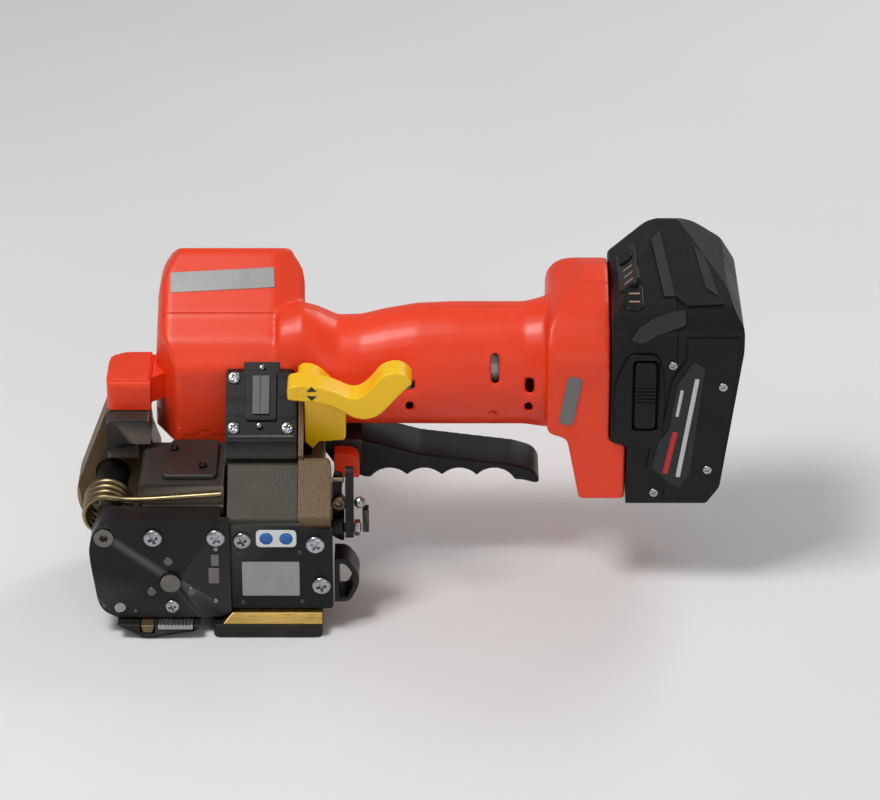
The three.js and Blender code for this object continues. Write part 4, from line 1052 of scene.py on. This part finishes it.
class STRAP_OT_weld_head(bpy.types.Operator):
    """Build the weld block, its ribbed side casting, front plate and name cover"""

    bl_idname = "strapping.weld_head"
    bl_label = "Weld head"

    def execute(self, context):
        # The olive weld block is its paint in painted shade. The brown of the rib is the same paint as
        # painted sunlight.
        olive = cast_metal("weld_block_olive", colour_of("olive"), rough=0.42, metal=0.45, grain=0.16,
                           wear=(0.10, 0.09, 0.07))
        bronze = cast_metal("rib_bronze", scaled(colour_of("bronze"), 0.95), rough=0.5, metal=0.6, grain=0.5,
                            wear=(0.34, 0.26, 0.17))
        coat = coated_metal("front_plate_coat", colour_of("coat"), rough=0.3, dirt=0.3)
        slope_coat = coated_metal("name_cover_coat", scaled(colour_of("coat"), 1.1), rough=0.3, dirt=0.4)
        plate_piece("weld_block", olive, 0.7, 3)
        cast_piece("weld_rib", bronze, 1.0)
        plate_piece("weld_front_plate", coat, 0.6, 3)
        plate_piece("name_cover", slope_coat, 0.8, 3)
        plate_piece("name_panel", slope_coat, 0.4)
        plate_piece("name_strips", printed("name_strip_grey", (0.10, 0.10, 0.105), 0.35), 0.15)
        self.add_labels()
        self.add_small_parts()
        self.add_ledge(slope_coat)
        return {"FINISHED"}

    def add_labels(self):
        """A white sticker with two plain discs, and a blank silver label."""
        sticker_x, sticker_z, disc_apart = 4.5, 53, 9.8
        sticker = plate("plate_sticker", rectangle(20, 9.6, 2.6), -0.2, 0.3,
                        on_front(sticker_x, PLATE_Y, sticker_z), 0.1)
        finished(sticker, printed("sticker_white", (0.72, 0.73, 0.75), 0.35), "frame", "silver_label")
        disc = lathed("disc_shape", [(0, -0.1), (3.3, -0.1), (3.3, 0.07), (0, 0.09)], sides=36)
        spots = [on_front(sticker_x + side * disc_apart / 2, PLATE_Y - 0.3, sticker_z) for side in (-1, 1)]
        discs = scattered("plate_sticker_discs", disc, spots, printed("disc_blue", (0.02, 0.13, 0.42), 0.35))
        finished(discs, None, "frame", "silver_label")
        label = plate("plate_blank_label", rectangle(28.5, 19.4, 0.8), -0.2, 0.32,
                      on_front(1.5, PLATE_Y, 30), 0.1)
        finished(label, label_foil("label_silver_foil", (0.34, 0.34, 0.335)), "frame", "silver_label")

    def add_small_parts(self):
        """Pin holes in the front plate and rivets on the name panel."""
        spots = [on_front(x, PLATE_Y, z) for x, z in ((-13.5, 45), (16, 45), (-12.5, 16.4), (17, 16.8))]
        pins = scattered("plate_pins", dowel(1.2, 0.35), spots,
                         machined_steel("plate_pin_steel", (0.10, 0.095, 0.09), 0.4))
        finished(pins, None, "frame", "black_metal")
        spots = [name_slope() @ shift(x, along, 1.2) for x, along in ((-3.4, 38.6), (-4.4, 8.4))]
        rivets = scattered("name_rivets", domed_rivet(1.5, 0.9), spots,
                           machined_steel("name_rivet_steel", (0.34, 0.34, 0.35), 0.3))
        finished(rivets, None, "frame", "black_metal")

    def add_ledge(self, coat):
        """Raised ledge across the foot of the slope."""
        place = name_slope() @ shift(-3.4, 3, 0)
        ledge = plate("name_cover_ledge", rectangle(33, 2.2, 0.6), -0.5, 0.7, place, 0.5, 3)
        finished(ledge, coat, "frame", "black_metal")


# ---------------------------------------------------------------------------------------------
# Screws, knobs and the parts inside
# ---------------------------------------------------------------------------------------------

def screw_steel():
    if "screw_zinc" in bpy.data.materials:
        return bpy.data.materials["screw_zinc"]
    return machined_steel("screw_zinc", (0.50, 0.51, 0.54), 0.22, (1.0, 1.0, 1.0), 0.7)


def screw_head(radius, height):
    """A pan head on z = 0 with a cross recess in its crown."""
    head = lathed("screw_shape", [
        (0, -0.5), (radius, -0.5), (radius, height * 0.42), (radius * 0.95, height * 0.68),
        (radius * 0.8, height * 0.88), (radius * 0.5, height * 0.98), (0, height)], sides=40)
    arm, reach = radius * sizes().screw_recess, radius * 0.56
    cross = [(arm, arm), (arm, reach), (-arm, reach), (-arm, arm), (-reach, arm), (-reach, -arm),
             (-arm, -arm), (-arm, -reach), (arm, -reach), (arm, -arm), (reach, -arm), (reach, arm)]
    recess = slab("recess_shape", cross, height * 0.12, height * 1.5, spin(20))
    return bevelled(cut_by(head, recess), 0.05, 1, 40)


class STRAP_OT_screws(bpy.types.Operator):
    """Build the pan-head screws of each body"""

    bl_idname = "strapping.screws"
    bl_label = "Screws"

    def execute(self, context):
        self.add_heads("rocker_screws", "rocker", COVER_Y,
                       ("rocker_screw_left", "rocker_screw_right", "rocker_screw_low"))
        self.add_heads("plate_screws", "frame", PLATE_Y,
                       ("plate_screw_left", "plate_screw_right", "plate_screw_low"))
        self.add_slope_screws()
        self.add_lid_screws()
        return {"FINISHED"}

    def add_heads(self, name, body, face_y, nodes):
        """Large heads, each turned its own way and as wide as its CAD screw."""
        radius = 4.7
        spots = []
        for i, node in enumerate(nodes):
            low, high = box(node)
            spots.append(on_front(centre(node).x, face_y, centre(node).z) @ Matrix.Rotation(0.7 * i, 4, "Z")
                         @ Matrix.Scale((high.x - low.x) / (2 * radius), 4))
        heads = scattered(name, screw_head(radius, 2.5), spots, screw_steel())
        finished(heads, None, body, "bright_steel", *nodes)

    def add_slope_screws(self):
        """Small heads at three corners of the name cover's slope."""
        spots = [name_slope() @ shift(x, along, 0.1) @ Matrix.Rotation(0.5 * i, 4, "Z")
                 for i, (x, along) in enumerate(((-17.2, 33.4), (-17.2, 7.2), (9.6, 7.2)))]
        heads = scattered("name_cover_screws", screw_head(3.1, 1.6), spots, screw_steel())
        finished(heads, None, "frame", "bright_steel", "name_screw_top", "name_screw_low_left",
                 "name_screw_low_right")

    def add_lid_screws(self):
        """Two small socket screws on the lid of the rocker casting."""
        head = bevelled(lathed("lid_screw_shape", [
            (0, -0.5), (2.1, -0.5), (2.1, 1.3), (1.85, 1.6), (1.1, 1.6), (0.9, 0.7), (0, 0.6)]), 0.06, 1, 40)
        spots = [shift(x, y, box("casting_lid")[1].z) for x, y in ((-47.5, -7), (-32.5, -25))]
        black = machined_steel("lid_screw_black", (0.05, 0.05, 0.05), 0.3)
        heads = scattered("lid_screws", head, spots, black)
        finished(heads, None, "rocker", "cast_black")


class STRAP_OT_linkage(bpy.types.Operator):
    """Build the linkage to the right of the weld head"""

    bl_idname = "strapping.linkage"
    bl_label = "Linkage"

    def execute(self, context):
        dark = coated_metal("link_blued", (0.025, 0.024, 0.024), rough=0.34, metal=0.7, dirt=0.6)
        steel = machined_steel("link_zinc", (0.42, 0.42, 0.43), 0.26)
        plate_piece("link_arm", dark, 0.5)
        plate_piece("link_nut", steel, 0.35)
        rounded_copy("ball_stud", "_part", steel, 0.2, 2, 20)
        self.add_bracket(dark)
        return {"FINISHED"}

    def add_bracket(self, dark):
        """Side bracket of the weld head with its bushing, cross pin and stop block."""
        face_y = -28.5
        shape = [(31.6, 40), (37.6, 37), (37.8, 58), (36.4, 66), (37.6, 75), (33, 76.5), (31.6, 70)]
        bracket = plate("link_bracket", rounded(shape, 2, 4), -3.4, 0, on_front(0, face_y, 0), 0.5, 3)
        finished(bracket, dark, "frame", "dark_steel")
        bronze = machined_steel("bushing_bronze", (0.30, 0.23, 0.15), 0.35)
        bushing = lathed("link_bushing", [
            (0, -1), (3.9, -1), (3.9, 2.6), (3.3, 3.0), (1.9, 3.0), (1.7, 1.6), (0, 1.6)],
            on_front(35.2, face_y, 60), 32)
        pin = lathed("link_cross_pin", [(0, 0), (1.3, 0), (1.3, 5.6), (0.9, 6.0), (0, 6.0)],
                     basis((31.8, face_y - 1.5, 73.5), (0, 1, 0), (0, 0, 1)))
        for made, edge in ((bushing, 0.12), (pin, 0.1)):
            finished(bevelled(made, edge, 2, 40), bronze, "frame", "dark_steel")
        block = plate("link_stop_block", rectangle(3.2, 13, 0.8), -4, 1.4,
                      on_front(48.4, face_y - 1.5, 50.5), 0.4)
        finished(block, dark, "frame", "dark_steel")


class STRAP_OT_knobs(bpy.types.Operator):
    """Build the two fluted knobs on the back"""

    bl_idname = "strapping.knobs"
    bl_label = "Knobs"

    def execute(self, context):
        black = moulded_plastic("knob_plastic", (0.013, 0.013, 0.014), rough=0.4, grain=0.06)
        for node in ("tension_knob", "weld_time_knob"):
            rounded_copy(node, "_cap", black, 0.35, 2, 20)
        return {"FINISHED"}


class STRAP_OT_insides(bpy.types.Operator):
    """Give the parts inside the tool their finishes"""

    bl_idname = "strapping.insides"
    bl_label = "Inside parts"

    def execute(self, context):
        pins = machined_steel("pivot_pin_steel", (0.35, 0.34, 0.33), 0.28)
        for nodes, material in (
                (("weld_jaw", "cutter_blade", "eccentric_shaft"),
                 machined_steel("hardened_steel", (0.44, 0.44, 0.45), 0.3, (30.0, 1.0, 1.0))),
                (("tension_wheel",),
                 machined_steel("wheel_steel", (0.20, 0.19, 0.18), 0.38, (20.0, 1.0, 20.0), 0.8)),
                (("tension_motor", "weld_motor"),
                 machined_steel("motor_can_steel", (0.40, 0.39, 0.37), 0.36, (1.0, 1.0, 12.0))),
                (("control_board",), moulded_plastic("board_green", (0.01, 0.11, 0.035), rough=0.35)),
                (("grip_lever_pin",), pins)):
            for node in nodes:
                keep_node(node, material)
        self.add_lever_pin(pins)
        return {"FINISHED"}

    def add_lever_pin(self, steel):
        """The weld lever's pin, which ends behind the lever's hub."""
        low, high = box("lever_pin")
        radius, length = 2, high.y - low.y - 4
        rod = lathed("lever_pin_rod", [(0, 0), (radius, 0), (radius, length), (0, length)],
                     basis((centre("lever_pin").x, high.y, centre("lever_pin").z), (1, 0, 0), (0, 0, 1)))
        stands_for("lever_pin", bevelled(rod, 0.2), steel)


# ---------------------------------------------------------------------------------------------
# Stage
# ---------------------------------------------------------------------------------------------

# Each light's name, place and target in metres, its two sides in metres, and its power in watts.
LIGHTS = (("key_light", (-0.45, -0.35, 1.35), (0.05, 0.0, 0.1), (0.45, 0.45), 12.5),
          ("fill_light", (0.55, -1.45, 0.55), (0.05, 0.0, 0.06), (1.0, 0.7), 3.0),
          ("rim_light", (0.75, 0.95, 0.95), (0.06, 0.0, 0.1), (0.6, 0.6), 5.0))
AIR_BRIGHTNESS = 0.27
CAMERA_TARGET = Vector((85.5, 0, 102.3)) * MM
CAMERA_ELEVATION, CAMERA_DISTANCE = math.radians(28), 2.0
CAMERA_LENS, CAMERA_SENSOR = 163.6, 36.0


def aimed(made, place, away):
    """Puts a light or camera at a place, with its back to the away direction, in the scene."""
    made.location = place
    made.rotation_euler = (-away).to_track_quat("-Z", "Y").to_euler()
    bpy.context.scene.collection.objects.link(made)
    return made


class STRAP_OT_stage(bpy.types.Operator):
    """Set up the floor, the studio light and the camera"""

    bl_idname = "strapping.stage"
    bl_label = "Stage"

    def execute(self, context):
        self.add_floor()
        self.add_world(context)
        for light in LIGHTS:
            self.add_light(*light)
        self.add_camera(context)
        return {"FINISHED"}

    def add_floor(self):
        floor = slab("studio_floor", rectangle(9000, 9000), -20, -0.2, smooth=False)
        look = Finish("studio_floor_paint")
        tone = look.noise(3, 2)
        look.set(colour=look.ramp(tone, [(0.3, (0.80, 0.80, 0.80)), (0.7, (0.84, 0.84, 0.84))]), rough=0.6)
        floor.data.materials.append(look.material)

    def add_world(self, context):
        world = bpy.data.worlds.new("studio_air")
        world.use_nodes = True
        background = world.node_tree.nodes["Background"]
        background.inputs["Color"].default_value = (1.0, 1.0, 1.0, 1.0)
        background.inputs["Strength"].default_value = AIR_BRIGHTNESS
        context.scene.world = world
        context.scene.view_settings.view_transform = "Standard"

    def add_light(self, name, place, target, size, energy):
        lamp = bpy.data.lights.new(name, "AREA")
        lamp.shape = "RECTANGLE"
        lamp.size, lamp.size_y = size
        lamp.energy = energy
        aimed(bpy.data.objects.new(name, lamp), Vector(place), Vector(place) - Vector(target))

    def add_camera(self, context):
        away = Vector((0, -math.cos(CAMERA_ELEVATION), math.sin(CAMERA_ELEVATION))) * CAMERA_DISTANCE
        lens = bpy.data.cameras.new("studio_camera")
        lens.lens, lens.sensor_width = CAMERA_LENS, CAMERA_SENSOR
        context.scene.camera = aimed(bpy.data.objects.new("studio_camera", lens), CAMERA_TARGET + away, away)


# ---------------------------------------------------------------------------------------------
# Panel and run
# ---------------------------------------------------------------------------------------------

OPERATORS = (STRAP_OT_housing, STRAP_OT_battery, STRAP_OT_levers, STRAP_OT_rocker, STRAP_OT_castings,
             STRAP_OT_weld_head, STRAP_OT_screws, STRAP_OT_linkage, STRAP_OT_knobs, STRAP_OT_insides,
             STRAP_OT_stage)


class STRAP_PT_tool(bpy.types.Panel):
    """Lists the tool's pieces and their settings"""

    bl_idname = "STRAP_PT_tool"
    bl_label = "Strapping Tool"
    bl_space_type = "VIEW_3D"
    bl_region_type = "UI"
    bl_category = "Strapping Tool"

    def draw(self, context):
        for group in (context.scene.strapping_colours, context.scene.strapping_sizes):
            column = self.layout.column(align=True)
            for name in group.__annotations__:
                column.prop(group, name)
        for operator in OPERATORS:
            self.layout.operator(operator.bl_idname)


CLASSES = (ToolColours, ToolSizes, *OPERATORS, STRAP_PT_tool)


def register():
    for item in CLASSES:
        bpy.utils.register_class(item)
    bpy.types.Scene.strapping_colours = PointerProperty(type=ToolColours)
    bpy.types.Scene.strapping_sizes = PointerProperty(type=ToolSizes)


def unregister():
    del bpy.types.Scene.strapping_sizes
    del bpy.types.Scene.strapping_colours
    for item in reversed(CLASSES):
        bpy.utils.unregister_class(item)


def main():
    register()
    for operator in OPERATORS:
        group, name = operator.bl_idname.split(".")
        getattr(getattr(bpy.ops, group), name)()


if __name__ == "__main__":
    main()
